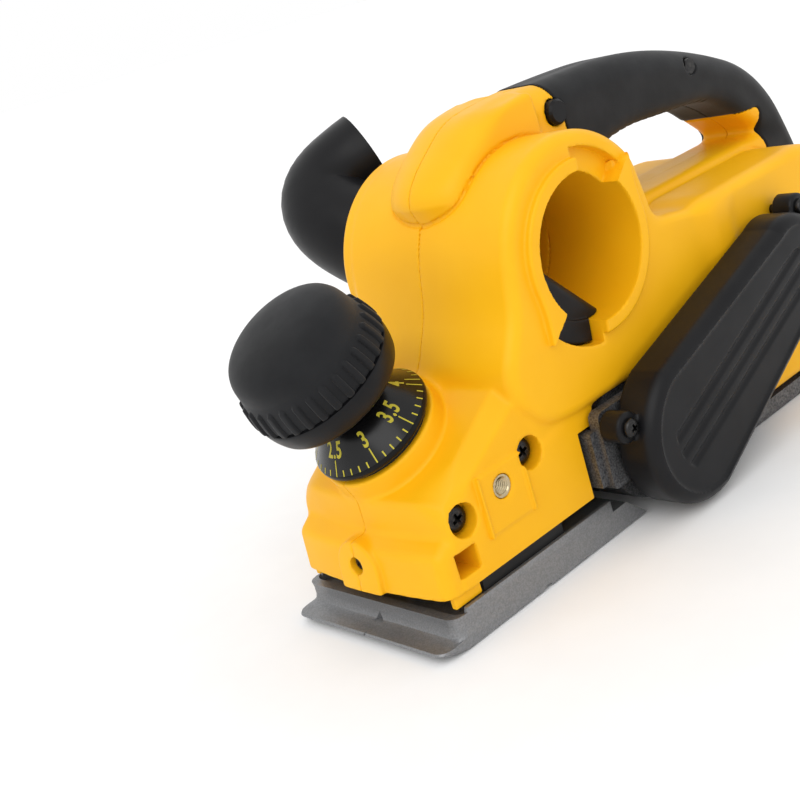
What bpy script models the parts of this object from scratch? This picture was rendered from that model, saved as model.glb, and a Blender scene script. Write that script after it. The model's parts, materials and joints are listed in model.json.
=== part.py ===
"""Electric hand planer, 82 mm wide, modelled as an assembly of separate pieces.

Frame: +X forward (towards the nose), +Y to the operator's left, +Z up. Z = 0 is the sole of the rear
shoe and Y = 0 is the parting line of the two housing halves. Lengths below are in millimetres, and
each mesh is scaled to metres as it is made.
"""

import math

import bmesh
import bpy
from mathutils import Matrix, Vector

MM = 0.001
GAP = 0.3

# Driving dimensions.
SHOE_HALF_WIDTH = 42.0
NOSE_HALF_WIDTH = 41.0
BODY_HALF_WIDTH = 46.0
HANDLE_HALF_WIDTH = 18.0
SHOE_FRONT_X = 162.0
SHOE_REAR_X = -158.0
FRONT_SOLE_Z = 0.4
SHOE_WALL_TOP_Z = 14.0
HOUSING_BOTTOM_Z = 18.6

DRUM_X = 32.0
DRUM_Z = 32.0
KNIFE_RADIUS = 31.8
DRUM_RADIUS = 30.4
DRUM_HALF_LENGTH = 40.6
DRUM_CHAMBER_RADIUS = 35.0

MOTOR_X = -48.0
MOTOR_Z = 64.0
STATOR_RADIUS = 36.0
ROTOR_RADIUS = 20.5

DIAL_X = 131.4
DIAL_Z = 74.2
DIAL_TILT = math.radians(28.65)
DIAL_RADIUS = 24.3

PORT_X = 47.0
PORT_Z = 108.0
TUNNEL_RADIUS = 27.5
COLLAR_RADIUS = 32.0

INSERT_X = 115.0
INSERT_Z = 45.0

CHUTE_PLUG_RADIUS = 26.8
CHUTE_RADIUS = 23.0
CHUTE_TAPER = 4.5
CHUTE_STEPS = 8

BELT_Y = 56.5
DRUM_PULLEY_RADIUS = 19.0
MOTOR_PULLEY_RADIUS = 11.0

MANIFOLD_CUTS = ("housing", "chip_chute")

# Colour, roughness and metallic value of each finish.
FINISHES = {
    "yellow_housing": ((0.95, 0.52, 0.03), 0.42, 0.0),
    "black_plastic": ((0.03, 0.03, 0.032), 0.5, 0.0),
    "soft_grip": ((0.035, 0.035, 0.037), 0.8, 0.0),
    "cast_aluminium": ((0.16, 0.16, 0.17), 0.45, 0.9),
    "machined_steel": ((0.55, 0.56, 0.58), 0.25, 1.0),
    "black_steel": ((0.04, 0.04, 0.045), 0.35, 0.9),
    "brass": ((0.6, 0.45, 0.2), 0.3, 1.0),
    "copper": ((0.6, 0.25, 0.12), 0.35, 1.0),
    "belt_rubber": ((0.02, 0.02, 0.02), 0.75, 0.0),
}


def clear_scene():
    for old in list(bpy.data.objects):
        bpy.data.objects.remove(old, do_unlink=True)


def finish(slot):
    """The Principled material of one finish, made once."""
    material = bpy.data.materials.get(slot)
    if material is None:
        colour, roughness, metallic = FINISHES[slot]
        material = bpy.data.materials.new(slot)
        material.use_nodes = True
        shader = material.node_tree.nodes["Principled BSDF"]
        shader.inputs["Base Color"].default_value = (*colour, 1.0)
        shader.inputs["Roughness"].default_value = roughness
        shader.inputs["Metallic"].default_value = metallic
    return material


def from_bmesh(name, bm, slot=None, parent=None):
    """An object from a bmesh in millimetres. One without a slot is a cutter or a blank to be joined."""
    bmesh.ops.recalc_face_normals(bm, faces=bm.faces)
    bmesh.ops.scale(bm, vec=(MM, MM, MM), verts=bm.verts)
    mesh = bpy.data.meshes.new(name)
    bm.to_mesh(mesh)
    bm.free()
    obj = bpy.data.objects.new(name, mesh)
    bpy.context.scene.collection.objects.link(obj)
    obj.parent = parent
    if slot:
        mesh.materials.append(finish(slot))
        mesh.shade_smooth()
        mesh.set_sharp_from_angle(angle=math.radians(35))
    else:
        obj.hide_render = True
        obj.display_type = "WIRE"
    return obj


def axis_frame(name, x, y, z, z_axis):
    """An empty on a joint's axis: its local Z lies along z_axis and its local X stays in the XZ plane."""
    direction = Vector(z_axis).normalized()
    if abs(direction.y) > 0.99:
        across = Vector((1.0, 0.0, 0.0))
    else:
        across = Vector((0.0, 1.0, 0.0)).cross(direction)
    side = direction.cross(across)
    empty = bpy.data.objects.new(name, None)
    bpy.context.scene.collection.objects.link(empty)
    turn = Matrix((across, side, direction)).transposed().to_4x4()
    empty.matrix_world = Matrix.Translation(Vector((x, y, z)) * MM) @ turn
    return empty


def box(lo, hi):
    bm = bmesh.new()
    bmesh.ops.create_cube(bm, size=1.0)
    for vert in bm.verts:
        vert.co = [lo[i] if vert.co[i] < 0 else hi[i] for i in range(3)]
    return bm


def fillets(corners, steps=3):
    """A closed outline from (a, b, radius) corners, each rounded by an arc of the given radius."""
    outline = []
    count = len(corners)
    for i, (a, b, radius) in enumerate(corners):
        corner = Vector((a, b))
        if radius <= 0:
            outline.append(corner)
            continue
        before = (Vector(corners[i - 1][:2]) - corner).normalized()
        after = (Vector(corners[(i + 1) % count][:2]) - corner).normalized()
        half = before.angle(after) / 2
        reach = radius / math.tan(half)
        centre = corner + (before + after).normalized() * (radius / math.sin(half))
        start = corner + before * reach - centre
        turn = start.angle_signed(corner + after * reach - centre)
        for step in range(steps + 1):
            angle = -turn * step / steps
            c, s = math.cos(angle), math.sin(angle)
            outline.append(centre + Vector((c * start.x - s * start.y, s * start.x + c * start.y)))
    return outline


def circle(a, b, radius, steps=28):
    turns = [2 * math.pi * i / steps for i in range(steps)]
    return [Vector((a + radius * math.cos(t), b + radius * math.sin(t))) for t in turns]


def prism(outline, low, high, axis="Y", edge=0.0, edge_steps=2):
    """The outline pushed from low to high along an axis. edge rounds the rim at high."""
    place = {
        "X": lambda p, along: (along, p[0], p[1]),
        "Y": lambda p, along: (p[0], along, p[1]),
        "Z": lambda p, along: (p[0], p[1], along),
    }[axis]
    bm = bmesh.new()
    ends = [[bm.verts.new(place(p, along)) for p in outline] for along in (low, high)]
    caps = [bm.faces.new(ring) for ring in ends]
    for i in range(len(outline)):
        j = (i + 1) % len(outline)
        bm.faces.new((ends[0][i], ends[0][j], ends[1][j], ends[1][i]))
    if edge:
        bmesh.ops.recalc_face_normals(bm, faces=bm.faces)
        bm.normal_update()
        bmesh.ops.bevel(
            bm, geom=list(caps[1].edges), offset=edge, segments=edge_steps, profile=0.5, affect="EDGES",
            clamp_overlap=True,
        )
    return bm


def turned(profile, steps=32):
    """A solid turned about local Z from a closed (radius, height) profile; radius 0 is on the axis."""
    bm = bmesh.new()
    rings = []
    for radius, height in profile:
        if radius == 0:
            rings.append([bm.verts.new((0, 0, height))])
        else:
            angles = [2 * math.pi * i / steps for i in range(steps)]
            rings.append([bm.verts.new((radius * math.cos(t), radius * math.sin(t), height)) for t in angles])
    for i, ring in enumerate(rings):
        other = rings[(i + 1) % len(rings)]
        if len(ring) == 1 and len(other) == 1:
            continue
        for k in range(steps):
            m = (k + 1) % steps
            if len(ring) == 1:
                bm.faces.new((ring[0], other[m], other[k]))
            elif len(other) == 1:
                bm.faces.new((ring[k], ring[m], other[0]))
            else:
                bm.faces.new((ring[k], ring[m], other[m], other[k]))
    return bm


def rod(radius, low, high, steps=24):
    return turned([(0, low), (radius, low), (radius, high), (0, high)], steps)


def sleeve(inner, outer, low, high, steps=32):
    return turned([(inner, low), (outer, low), (outer, high), (inner, high)], steps)


def swept(points, radii, inner_radii, steps=20):
    """A hollow tube along points, with open ends and the given outer and inner radii at each point."""
    bm = bmesh.new()
    loops = []
    for radius_list in (radii, inner_radii):
        rings = []
        for i, point in enumerate(points):
            ahead = points[min(i + 1, len(points) - 1)] - points[max(i - 1, 0)]
            ahead.normalize()
            side = ahead.cross(Vector((1.0, 0.0, 0.0))).normalized()
            over = side.cross(ahead)
            ring = []
            for k in range(steps):
                t = 2 * math.pi * k / steps
                ring.append(bm.verts.new(point + radius_list[i] * (side * math.cos(t) + over * math.sin(t))))
            rings.append(ring)
        loops.append(rings)
    chain = loops[0] + loops[1][::-1]
    for i, ring in enumerate(chain):
        other = chain[(i + 1) % len(chain)]
        for k in range(steps):
            m = (k + 1) % steps
            bm.faces.new((ring[k], ring[m], other[m], other[k]))
    return bm


def transformed(bm, matrix):
    bmesh.ops.transform(bm, matrix=matrix, verts=bm.verts)
    return bm


def combine(obj, operation, *shapes):
    """Boolean modifiers on obj, one for each bmesh, which becomes a hidden operand.

    The housing halves and the elbow, with their many rounded unions, use the manifold solver.
    """
    for shape in shapes:
        operand = from_bmesh(f"{obj.name}.{operation.lower()}.{len(obj.modifiers)}", shape)
        operand.parent = obj.parent
        operand.matrix_parent_inverse = obj.matrix_parent_inverse
        modifier = obj.modifiers.new(operand.name, "BOOLEAN")
        modifier.operation = operation
        modifier.solver = "MANIFOLD" if obj.name.startswith(MANIFOLD_CUTS) else "EXACT"
        modifier.object = operand
    return obj


def cut(obj, *shapes):
    return combine(obj, "DIFFERENCE", *shapes)


def join(obj, *shapes):
    return combine(obj, "UNION", *shapes)


def on_knob_axis(height, across=0.0):
    """(x, z) of a point of the XZ plane given by its height along the tilted knob axis and offset across it."""
    x = DIAL_X + height * math.sin(DIAL_TILT) + across * math.cos(DIAL_TILT)
    z = DIAL_Z + height * math.cos(DIAL_TILT) - across * math.sin(DIAL_TILT)
    return x, z


def tilted_block(low, high, half_across, half_width):
    """A block along the knob axis, between two heights."""
    corners = [(low, -half_across), (low, half_across), (high, half_across), (high, -half_across)]
    return prism([on_knob_axis(*corner) for corner in corners], -half_width, half_width)


def axial(x, z, bm):
    """Moves a solid turned about local Z so that its axis is parallel to Y through (x, z)."""
    return transformed(bm, Matrix.Translation((x, 0, z)) @ Matrix.Rotation(math.radians(-90), 4, "X"))


def knob_placed(bm):
    """Moves a solid turned about local Z onto the tilted knob axis, with its origin at the dial's centre."""
    return transformed(bm, Matrix.Translation((DIAL_X, 0, DIAL_Z)) @ Matrix.Rotation(DIAL_TILT, 4, "Y"))


# Side outlines (x, z, corner radius) of the housing, rear to front along the top.
NOSE_OUTLINE = [
    (60, HOUSING_BOTTOM_Z, 0), (60, 72, 0), (100, 78.5, 0), (142, 56, 5), (145.5, 41, 0),
    (151, 35.5, 0), (151, HOUSING_BOTTOM_Z, 0),
]
NOSE_CAVITY = [
    (72, 10, 0), (72, 64, 2), (99, 69, 2), (138.5, 50, 2), (142, 39, 2), (147, 33.5, 2), (147, 10, 0),
]
BODY_OUTLINE = [
    (-33, 52, 0), (88, 52, 8), (97.5, 64, 10), (98.5, 81, 12), (79, 137, 10), (62, 150, 8), (30, 150, 6),
    (2, 104, 14), (-100, 104, 22), (-131, 78, 16), (-134, 9, 0), (-33, 9, 0),
]
MOTOR_FRONT_OUTLINE = [(-40, 25.5, 0), (-8, 25.5, 0), (-1.5, 54, 0), (-40, 54, 0)]
HANDLE_OUTLINE = [
    (60, 110, 0), (87, 120, 0), (80, 150, 12), (60, 163, 14), (20, 167, 40), (-60, 161, 50),
    (-122, 134, 34), (-148, 84, 30), (-154, 8.4, 0), (-122, 8.4, 0), (-120, 60, 0),
]
FINGER_GAP = [(4, 108, 7), (8, 128, 7), (-16, 136, 8), (-84, 131, 14), (-114, 108, 7)]
HANDLE_CAVITY = [
    (56, 141, 3), (50, 155, 6), (16, 161.5, 20), (-56, 155, 16), (-88, 140, 4), (-84, 136.5, 2),
    (-60, 139.5, 10), (-14, 141, 5), (12, 138.5, 3),
]

LOCK_OFF = (18.0, 152.5)
FOOT_X = -128.0
FOOT_Z = 16.0
SCREW_RECESSES = [(135.0, 41.9), (98.0, 49.7)]
HANDLE_SCREWS = [(-70.0, 147.5), (-136.0, 60.0)]
COVER_SCREWS = [(64.0, 44.8), (-66.0, 84.0)]
FRONT_SCREW_Z = 28.4
RECESS_RADIUS = 5.6
RECESS_FLOOR_Y = 34.0


def housing_half(side):
    """One clamshell half of the yellow housing. side is +1 for the left half and -1 for the right one."""
    name = "housing_left" if side > 0 else "housing_right"

    def slab(outline, reach, past_seam, edge=0.0, edge_steps=2):
        return prism(outline, -side * past_seam, side * reach, edge=edge, edge_steps=edge_steps)

    half = from_bmesh(name, slab(fillets(BODY_OUTLINE), BODY_HALF_WIDTH, 2, edge=5), "yellow_housing")
    join(
        half,
        slab(NOSE_OUTLINE, NOSE_HALF_WIDTH, 3, edge=4),
        slab(MOTOR_FRONT_OUTLINE, 42.7, 4),
        slab(fillets(HANDLE_OUTLINE), HANDLE_HALF_WIDTH, 5, edge=9, edge_steps=3),
        prism(circle(PORT_X, PORT_Z, COLLAR_RADIUS), side * 38, side * 48.5),
        knob_placed(rod(21.5, -20, -3.2, 32)),
    )
    def pocket(outline, low, high):
        return prism(outline, side * low, side * high)

    cut(
        half,
        pocket(fillets(NOSE_CAVITY), -8, 38.2),
        pocket(circle(MOTOR_X, MOTOR_Z, STATOR_RADIUS + 2.5), -9, 43),
        pocket(fillets([(-128, -1, 0), (-128, 70, 8), (-100, 92, 8), (-60, 92, 0), (-36, 60, 0), (-36, -1, 0)]),
               -10, 42.6),
        pocket(circle(DRUM_X, DRUM_Z, DRUM_CHAMBER_RADIUS + 1), -11, 42.2),
        pocket([(60, 18), (60, 45), (73, 45), (73, 18)], 25.5, 50),
        pocket([(40, 50), (40, 95), (66, 95), (66, 50)], -12, 28),
        pocket(circle(PORT_X, PORT_Z, TUNNEL_RADIUS), -13, 60),
        pocket(fillets(HANDLE_CAVITY), -14, 13),
        pocket(fillets(FINGER_GAP), -15, 60),
        pocket([(-24, 128), (-24, 146), (14, 146), (14, 122)], -16, 5.2),
        axial(*LOCK_OFF, rod(5.2, -60, 60)),
        knob_placed(rod(9.0, -30, 5)),
        axial(INSERT_X, INSERT_Z, rod(4.5, -60, 60)),
        pocket([(133.6, 23.3), (133.6, 32.7), (143.6, 32.7), (143.6, 23.3)], 30, 60),
        prism(circle(0, FRONT_SCREW_Z, 1.9, 16), 144, 160, axis="X"),
        prism(circle(0, FRONT_SCREW_Z, 3.1, 20), 148.6, 160, axis="X"),
    )
    pad = [(102.5, 30.2), (102.5, 52.9), (126.5, 52.9), (126.5, 30.2)]
    seat = axial(MOTOR_X, MOTOR_Z, sleeve(11.3, 14, side * 37.5, side * 43.5))
    join(half, prism(pad, side * 40.6, side * 41.6), seat)
    screw_boss_radius, screw_boss_depth = (RECESS_RADIUS + 2, 32.4) if side > 0 else (5, 32.8)
    for x, z in SCREW_RECESSES:
        join(half, prism(circle(x, z, screw_boss_radius, 20), side * screw_boss_depth, side * 39))
    sinks = [prism(circle(INSERT_X, INSERT_Z, 4.5, 20), side * 40, side * 60)]
    if side > 0:
        for x, z in SCREW_RECESSES:
            sinks.append(prism(circle(x, z, RECESS_RADIUS, 20), RECESS_FLOOR_Y, 60))
            sinks.append(prism(circle(x, z, 2.2, 16), 12, 38))
        for x, z in HANDLE_SCREWS:
            sinks.append(prism(circle(x, z, 3.6, 16), 15.6, 60))
            sinks.append(prism(circle(x, z, 1.8, 16), -1, 17))
        sinks.append(prism(circle(MOTOR_X, MOTOR_Z, 4.8, 20), 41, 60))
        sinks.append(prism(circle(*COVER_SCREWS[1], 2.3, 16), 41, 60))
    else:
        for x, z in SCREW_RECESSES:
            sinks.append(prism(circle(x, z, 1.3, 16), -37.5, -30))
        for x, z in HANDLE_SCREWS:
            sinks.append(prism(circle(x, z, 1.8, 16), -12, 1))
    other_side = box((-300, min(side * GAP / 2, -side * 100), -50), (300, max(side * GAP / 2, -side * 100), 300))
    cut(half, *sinks, other_side)
    return half


def base_casting():
    """Rear shoe, side cheeks with the drum's bearing seats, and the front bridge that holds the spindle."""
    plate = [(SHOE_REAR_X, 2.5, 1), (SHOE_REAR_X + 4, 0, 1), (24, 0, 0), (10, 7, 0), (SHOE_REAR_X + 2, 7, 1)]
    body = from_bmesh(
        "base_casting", prism(fillets(plate), -SHOE_HALF_WIDTH, SHOE_HALF_WIDTH), "cast_aluminium"
    )
    solids = []
    for side in (-1, 1):
        solids += [
            prism(fillets([(-31, 6, 0), (-31, 51, 3), (68, 51, 3), (68, 20, 2), (0, 20, 2), (-5, 6, 0)]),
                  side * 43.2, side * 48),
            prism([(-31, 5), (-31, 24), (-5, 24), (-5, 5)], side * 36, side * 44),
            prism([(67, 22), (67, 44), (71, 44), (71, 22)], side * 27, side * 45),
            prism([(66, 22), (66, 40), (112, 40), (128, 44), (131, 41), (121, 22)], side * 26, side * 32),
            axial(DRUM_X, DRUM_Z, rod(16, side * 45, side * 50.5)),
        ]
    solids.append(tilted_block(-34, -26, 15, 31))
    join(body, *solids)
    for side in (-1, 1):
        cut(body, prism(circle(DRUM_X, DRUM_Z, 13.2), side * 41, side * 60))
    cut(body, knob_placed(rod(4.6, -40, -20)), prism(circle(*COVER_SCREWS[0], 2.3, 16), 40, 60))
    return body


def front_shoe():
    """Sliding front sole with its upright rim, three chamfer grooves and the spindle's threaded tower."""
    sole = [
        (47.5, FRONT_SOLE_Z, 0), (155.5, FRONT_SOLE_Z, 0), (SHOE_FRONT_X, 4.2, 1), (SHOE_FRONT_X, 6.6, 1),
        (153, 8.6, 0), (153, 9.4, 0), (57.5, 9.4, 0),
    ]
    shoe = from_bmesh("front_shoe", prism(fillets(sole), -SHOE_HALF_WIDTH, SHOE_HALF_WIDTH), "cast_aluminium")
    rim = [(66, 9), (66, SHOE_WALL_TOP_Z), (152.5, SHOE_WALL_TOP_Z), (152.5, 9)]
    foot_rear = on_knob_axis(-85.4, -12)
    foot_front = on_knob_axis(-72.3, 12)
    tower = [foot_rear, foot_front, on_knob_axis(-42, 12), on_knob_axis(-42, -12)]
    join(
        shoe,
        prism(rim, 40.2, SHOE_HALF_WIDTH),
        prism(rim, -SHOE_HALF_WIDTH, -40.2),
        box((148.5, -SHOE_HALF_WIDTH, 9), (152.5, SHOE_HALF_WIDTH, 12.5)),
        prism(tower, -14, 14),
    )
    for y, half_width in ((-24, 2.6), (0, 3.6), (24, 2.6)):
        groove = [(y - half_width, -1), (y + half_width, -1), (y, FRONT_SOLE_Z + half_width)]
        cut(shoe, prism(groove, 40, 170, axis="X"))
    cut(shoe, knob_placed(rod(4.4, -60, -38)))
    return shoe


def depth_adjuster():
    """Ribbed knob, dial and spindle, all on the tilted axis, with the friction spring under the dial."""
    axis = axis_frame("depth_knob_axis", DIAL_X, 0, DIAL_Z, (math.sin(DIAL_TILT), 0, math.cos(DIAL_TILT)))
    cap = [
        (0, 24), (25.5, 24), (28.3, 24), (28.8, 29), (28.2, 35), (27.2, 40), (25.2, 45.5), (21.5, 49.8),
        (15, 53), (7, 54.4), (0, 54.6),
    ]
    from_bmesh("depth_knob", turned(cap, 32), "soft_grip", axis)
    hub = [
        (0, 11.4), (11.5, 11.4), (12.5, 14), (16, 17.2), (22.8, 18.3), (27.2, 19.4), (28, 21.4), (28, 23.6),
        (0, 23.6),
    ]
    from_bmesh("depth_knob_hub", turned(hub, 32), "black_plastic", axis)
    dial = [
        (4.6, -2.8), (DIAL_RADIUS, -2.8), (DIAL_RADIUS, 0), (14, 10.2), (11, 11), (4.6, 11),
    ]
    from_bmesh("depth_dial", turned(dial, 40), "black_plastic", axis)
    spindle = [
        (0, -52), (3.2, -52), (3.9, -50), (3.9, -25.6), (6, -25.6), (6, -21.5), (4.2, -21.5), (4.2, 11), (0, 11),
    ]
    from_bmesh("adjuster_spindle", turned(spindle, 20), "machined_steel", axis)
    washer = [(6.6, -19), (8.6, -19), (8.6, -3.4), (6.6, -3.4)]
    from_bmesh("detent_spring", turned(washer, 24), "machined_steel")
    bpy.data.objects["detent_spring"].matrix_world = axis.matrix_world.copy()


def cutter_assembly():
    """The cutter drum with two knives and their clamping bars, its bearings and its belt pulley."""
    axis = axis_frame("drum_axis", DRUM_X, 0, DRUM_Z, (0, 1, 0))
    block = [
        (0, -53), (4.9, -53), (4.9, -DRUM_HALF_LENGTH - 1.5), (8, -DRUM_HALF_LENGTH - 1.5), (8, -DRUM_HALF_LENGTH),
        (DRUM_RADIUS, -DRUM_HALF_LENGTH), (DRUM_RADIUS, DRUM_HALF_LENGTH), (8, DRUM_HALF_LENGTH),
        (8, DRUM_HALF_LENGTH + 1.5), (4.9, DRUM_HALF_LENGTH + 1.5), (4.9, 63), (0, 63),
    ]
    drum = from_bmesh("cutter_drum", turned(block, 36), "cast_aluminium", axis)
    for index, turn in enumerate((0.0, math.pi)):
        spin = Matrix.Rotation(turn, 4, "Z")
        slot = prism([(17, -1), (17, 8.6), (45, 8.6), (45, -1)], -45, 45, axis="Z")
        cut(drum, transformed(slot, spin))
        letter = "ab"[index]
        knife = prism([(19, -0.7), (19, 0.5), (KNIFE_RADIUS, 0.5), (KNIFE_RADIUS - 1.2, -0.7)], -40.5, 40.5, axis="Z")
        from_bmesh(f"knife_{letter}", transformed(knife, spin), "machined_steel", axis)
        bar = prism([(17.5, 0.8), (17.5, 8.2), (28.3, 8.2), (29.6, 5), (29.9, 0.8)], -40.2, 40.2, axis="Z")
        from_bmesh(f"clamp_bar_{letter}", transformed(bar, spin), "black_steel", axis)
    for side, name in ((1, "left"), (-1, "right")):
        ring = sleeve(5.2, 12.9, side * 43, side * 50)
        from_bmesh(f"drum_bearing_{name}", axial(DRUM_X, DRUM_Z, ring), "machined_steel")
    pulley = [(5.2, 51.6), (21, 51.6), (DRUM_PULLEY_RADIUS, 52.4), (DRUM_PULLEY_RADIUS, 61), (5.2, 61)]
    from_bmesh("drum_pulley", turned(pulley, 36), "black_steel", axis)


def motor():
    """Stator and the rotating armature with its core, commutator, fan, bearings and pinion pulley."""
    axis = axis_frame("motor_axis", MOTOR_X, 0, MOTOR_Z, (0, 1, 0))
    shaft = [(0, -42), (3.4, -42), (3.4, 26), (4, 26), (4, 63), (0, 63)]
    from_bmesh("armature_shaft", turned(shaft, 16), "machined_steel", axis)
    core = [(3.6, -20), (15, -20), (ROTOR_RADIUS, -16), (ROTOR_RADIUS, 16), (15, 20), (3.6, 20)]
    from_bmesh("armature_core", turned(core, 32), "copper", axis)
    from_bmesh("commutator", turned([(3.8, -34), (11, -34), (11, -21), (3.8, -21)], 24), "copper", axis)
    fan = from_bmesh("cooling_fan", turned([(4.3, 27), (30, 27), (30, 29), (4.3, 29)], 32), "black_plastic", axis)
    for k in range(9):
        vane = box((9, -0.8, 28.5), (30, 0.8, 36))
        join(fan, transformed(vane, Matrix.Rotation(2 * math.pi * k / 9, 4, "Z")))
    pulley = [(4.3, 51.6), (12.6, 51.6), (MOTOR_PULLEY_RADIUS, 52.4), (MOTOR_PULLEY_RADIUS, 61), (4.3, 61)]
    from_bmesh("motor_pulley", turned(pulley, 24), "black_steel", axis)
    stator = from_bmesh("stator", axial(MOTOR_X, MOTOR_Z, sleeve(23, STATOR_RADIUS, -16, 16, 40)), "machined_steel")
    for side in (-1, 1):
        coil = sleeve(23.4, 31, side * 15, side * 24)
        join(stator, axial(MOTOR_X, MOTOR_Z, coil))
    left = sleeve(4.3, 11, 39.4, 42.6)
    right = sleeve(3.7, 11, -42.6, -39.4)
    from_bmesh("motor_bearing_left", axial(MOTOR_X, MOTOR_Z, left), "machined_steel")
    from_bmesh("motor_bearing_right", axial(MOTOR_X, MOTOR_Z, right), "machined_steel")
    for side, name in ((1, "front"), (-1, "rear")):
        near, far = sorted((MOTOR_X + side * 11.6, MOTOR_X + side * 32))
        holder = box((near, -34, MOTOR_Z - 5), (far, -25, MOTOR_Z + 5))
        from_bmesh(f"brush_holder_{name}", holder, "brass")


def belt_loop(offset, low, high, steps=16):
    """The outline around both pulleys at a radial offset, pushed along Y."""
    run = Vector((MOTOR_X - DRUM_X, MOTOR_Z - DRUM_Z))
    lean = math.acos((DRUM_PULLEY_RADIUS - MOTOR_PULLEY_RADIUS) / run.length)
    heading = math.atan2(run.y, run.x)
    outline = []
    for x, z, radius, start, sweep in (
        (DRUM_X, DRUM_Z, DRUM_PULLEY_RADIUS, heading + lean, 2 * (math.pi - lean)),
        (MOTOR_X, MOTOR_Z, MOTOR_PULLEY_RADIUS, heading - lean, 2 * lean),
    ):
        for step in range(steps + 1):
            angle = start + sweep * step / steps
            reach = radius + offset
            outline.append((x + reach * math.cos(angle), z + reach * math.sin(angle)))
    return prism(outline, low, high)


def belt_drive():
    belt = from_bmesh("drive_belt", belt_loop(2.8, BELT_Y - 3.6, BELT_Y + 4.0), "belt_rubber")
    cut(belt, belt_loop(0.4, 40, 70))
    cover = from_bmesh("belt_cover", belt_loop(11.5, 49, 66.5), "black_plastic")
    rim = cover.modifiers.new("rounded edge", "BEVEL")
    rim.width = 3 * MM
    rim.segments = 2
    rim.limit_method = "ANGLE"
    rim.angle_limit = math.radians(60)
    cut(cover, belt_loop(8.5, 30, 64))
    for number, (x, z) in enumerate(COVER_SCREWS, 1):
        lug = axial(x, z, rod(5.8, 49, 58, 20))
        join(cover, lug)
        cut(cover, axial(x, z, rod(2.4, 40, 70, 16)))
        screw = turned([(0, 44), (2, 44), (2, 58.4), (3.6, 58.4), (3.6, 60.8), (0, 60.8)], 20)
        from_bmesh(f"belt_cover_screw_{number}", axial(x, z, screw), "black_steel")


def chip_chute():
    """Black elbow plugged into the right-hand chip port; it rises outwards and then bends to the rear."""
    route = [
        Vector((PORT_X, -54.0, PORT_Z)), Vector((PORT_X + 3, -66.0, PORT_Z + 12)),
        Vector((PORT_X + 24, -112.0, PORT_Z + 27)), Vector((PORT_X - 20, -86.0, PORT_Z + 43)),
    ]
    points = [Vector((PORT_X, -36.0, PORT_Z)), Vector((PORT_X, -52.0, PORT_Z))]
    radii = [CHUTE_PLUG_RADIUS, CHUTE_PLUG_RADIUS]
    for step in range(1, CHUTE_STEPS + 1):
        t = step / CHUTE_STEPS
        weights = ((1 - t) ** 3, 3 * t * (1 - t) ** 2, 3 * t * t * (1 - t), t ** 3)
        points.append(sum((point * weight for point, weight in zip(route, weights)), Vector()))
        radii.append(CHUTE_RADIUS - CHUTE_TAPER * t)
    inner = [radius - 2.4 for radius in radii]
    chute = from_bmesh("chip_chute", swept(points, radii, inner), "black_plastic")
    return join(chute, axial(PORT_X, PORT_Z, sleeve(25.4, 31.0, -52, -49.2, 24)))


def chip_deflector():
    """Ramp in the left end of the chip tunnel that turns the chips to the right."""
    ramp = [(43, 80), (43, 89), (6, 106), (2, 102), (26, 80)]
    deflector = from_bmesh("chip_deflector", prism(ramp, 22, 72, axis="X"), "black_plastic")
    combine(deflector, "INTERSECT", axial(PORT_X, PORT_Z, rod(TUNNEL_RADIUS - GAP - 0.1, -10, 60, 32)))
    return deflector


def side_fittings():
    """Threaded inserts, screws seen in the recesses, the dust strips and the screw in the nose."""
    for side, name in ((1, "left"), (-1, "right")):
        insert = sleeve(3.0, 4.2, side * 32.6, side * 41.2, 24)
        from_bmesh(f"threaded_insert_{name}", axial(INSERT_X, INSERT_Z, insert), "brass")
        strip = box((91, min(side * 37.4, side * 39.6), 13.2), (134, max(side * 37.4, side * 39.6), 18.2))
        from_bmesh(f"dust_strip_{name}", strip, "belt_rubber")
    for number, (x, z) in enumerate(SCREW_RECESSES, 1):
        screw = turned(
            [(0, -36), (1, -36), (1, 8), (1.9, 8), (1.9, 34.3), (3.9, 34.3), (3.9, 37.2), (0, 37.2)], 20
        )
        from_bmesh(f"nose_screw_{number}", axial(x, z, screw), "black_steel")
    for number, (x, z) in enumerate(HANDLE_SCREWS, 1):
        screw = turned([(0, -10), (1.5, -10), (1.5, 15.9), (3.3, 15.9), (3.3, 17.6), (0, 17.6)], 20)
        from_bmesh(f"handle_screw_{number}", axial(x, z, screw), "black_steel")
    screw = turned([(0, 139), (1.5, 139), (1.5, 148.9), (2.7, 148.9), (2.7, 150.6), (0, 150.6)], 20)
    placed = Matrix.Translation((0, 0, FRONT_SCREW_Z)) @ Matrix.Rotation(math.radians(90), 4, "Y")
    from_bmesh("front_screw", transformed(screw, placed), "black_steel")


def drum_end_cap():
    cup = [(0, -55.5), (15.5, -55.5), (15.5, -50.9), (12, -50.9), (12, -53.8), (0, -53.8)]
    from_bmesh("drum_end_cap", axial(DRUM_X, DRUM_Z, turned(cup, 32)), "black_plastic")


def parking_foot():
    """Swinging foot on the right of the rear shoe that keeps the knives off the bench."""
    pivot = axis_frame("parking_foot_axis", FOOT_X, 0, FOOT_Z, (0, 1, 0))
    arm = [(-5, -4, 4), (-5, 4, 4), (24, 4, 3), (26, -4, 2)]
    foot = prism(fillets([(FOOT_X + x, FOOT_Z + z, r) for x, z, r in arm]), -50.6, -46.6)
    lever = from_bmesh("parking_foot", foot, "black_plastic")
    lever.parent = pivot
    lever.matrix_parent_inverse = pivot.matrix_world.inverted()
    cut(lever, axial(FOOT_X, FOOT_Z, rod(2.4, -60, -40, 16)))
    pin = turned([(0, -52.6), (3.8, -52.6), (3.8, -50.9), (2.1, -50.9), (2.1, -46.3), (0, -46.3)], 16)
    from_bmesh("foot_pin", axial(FOOT_X, FOOT_Z, pin), "machined_steel")


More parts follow.
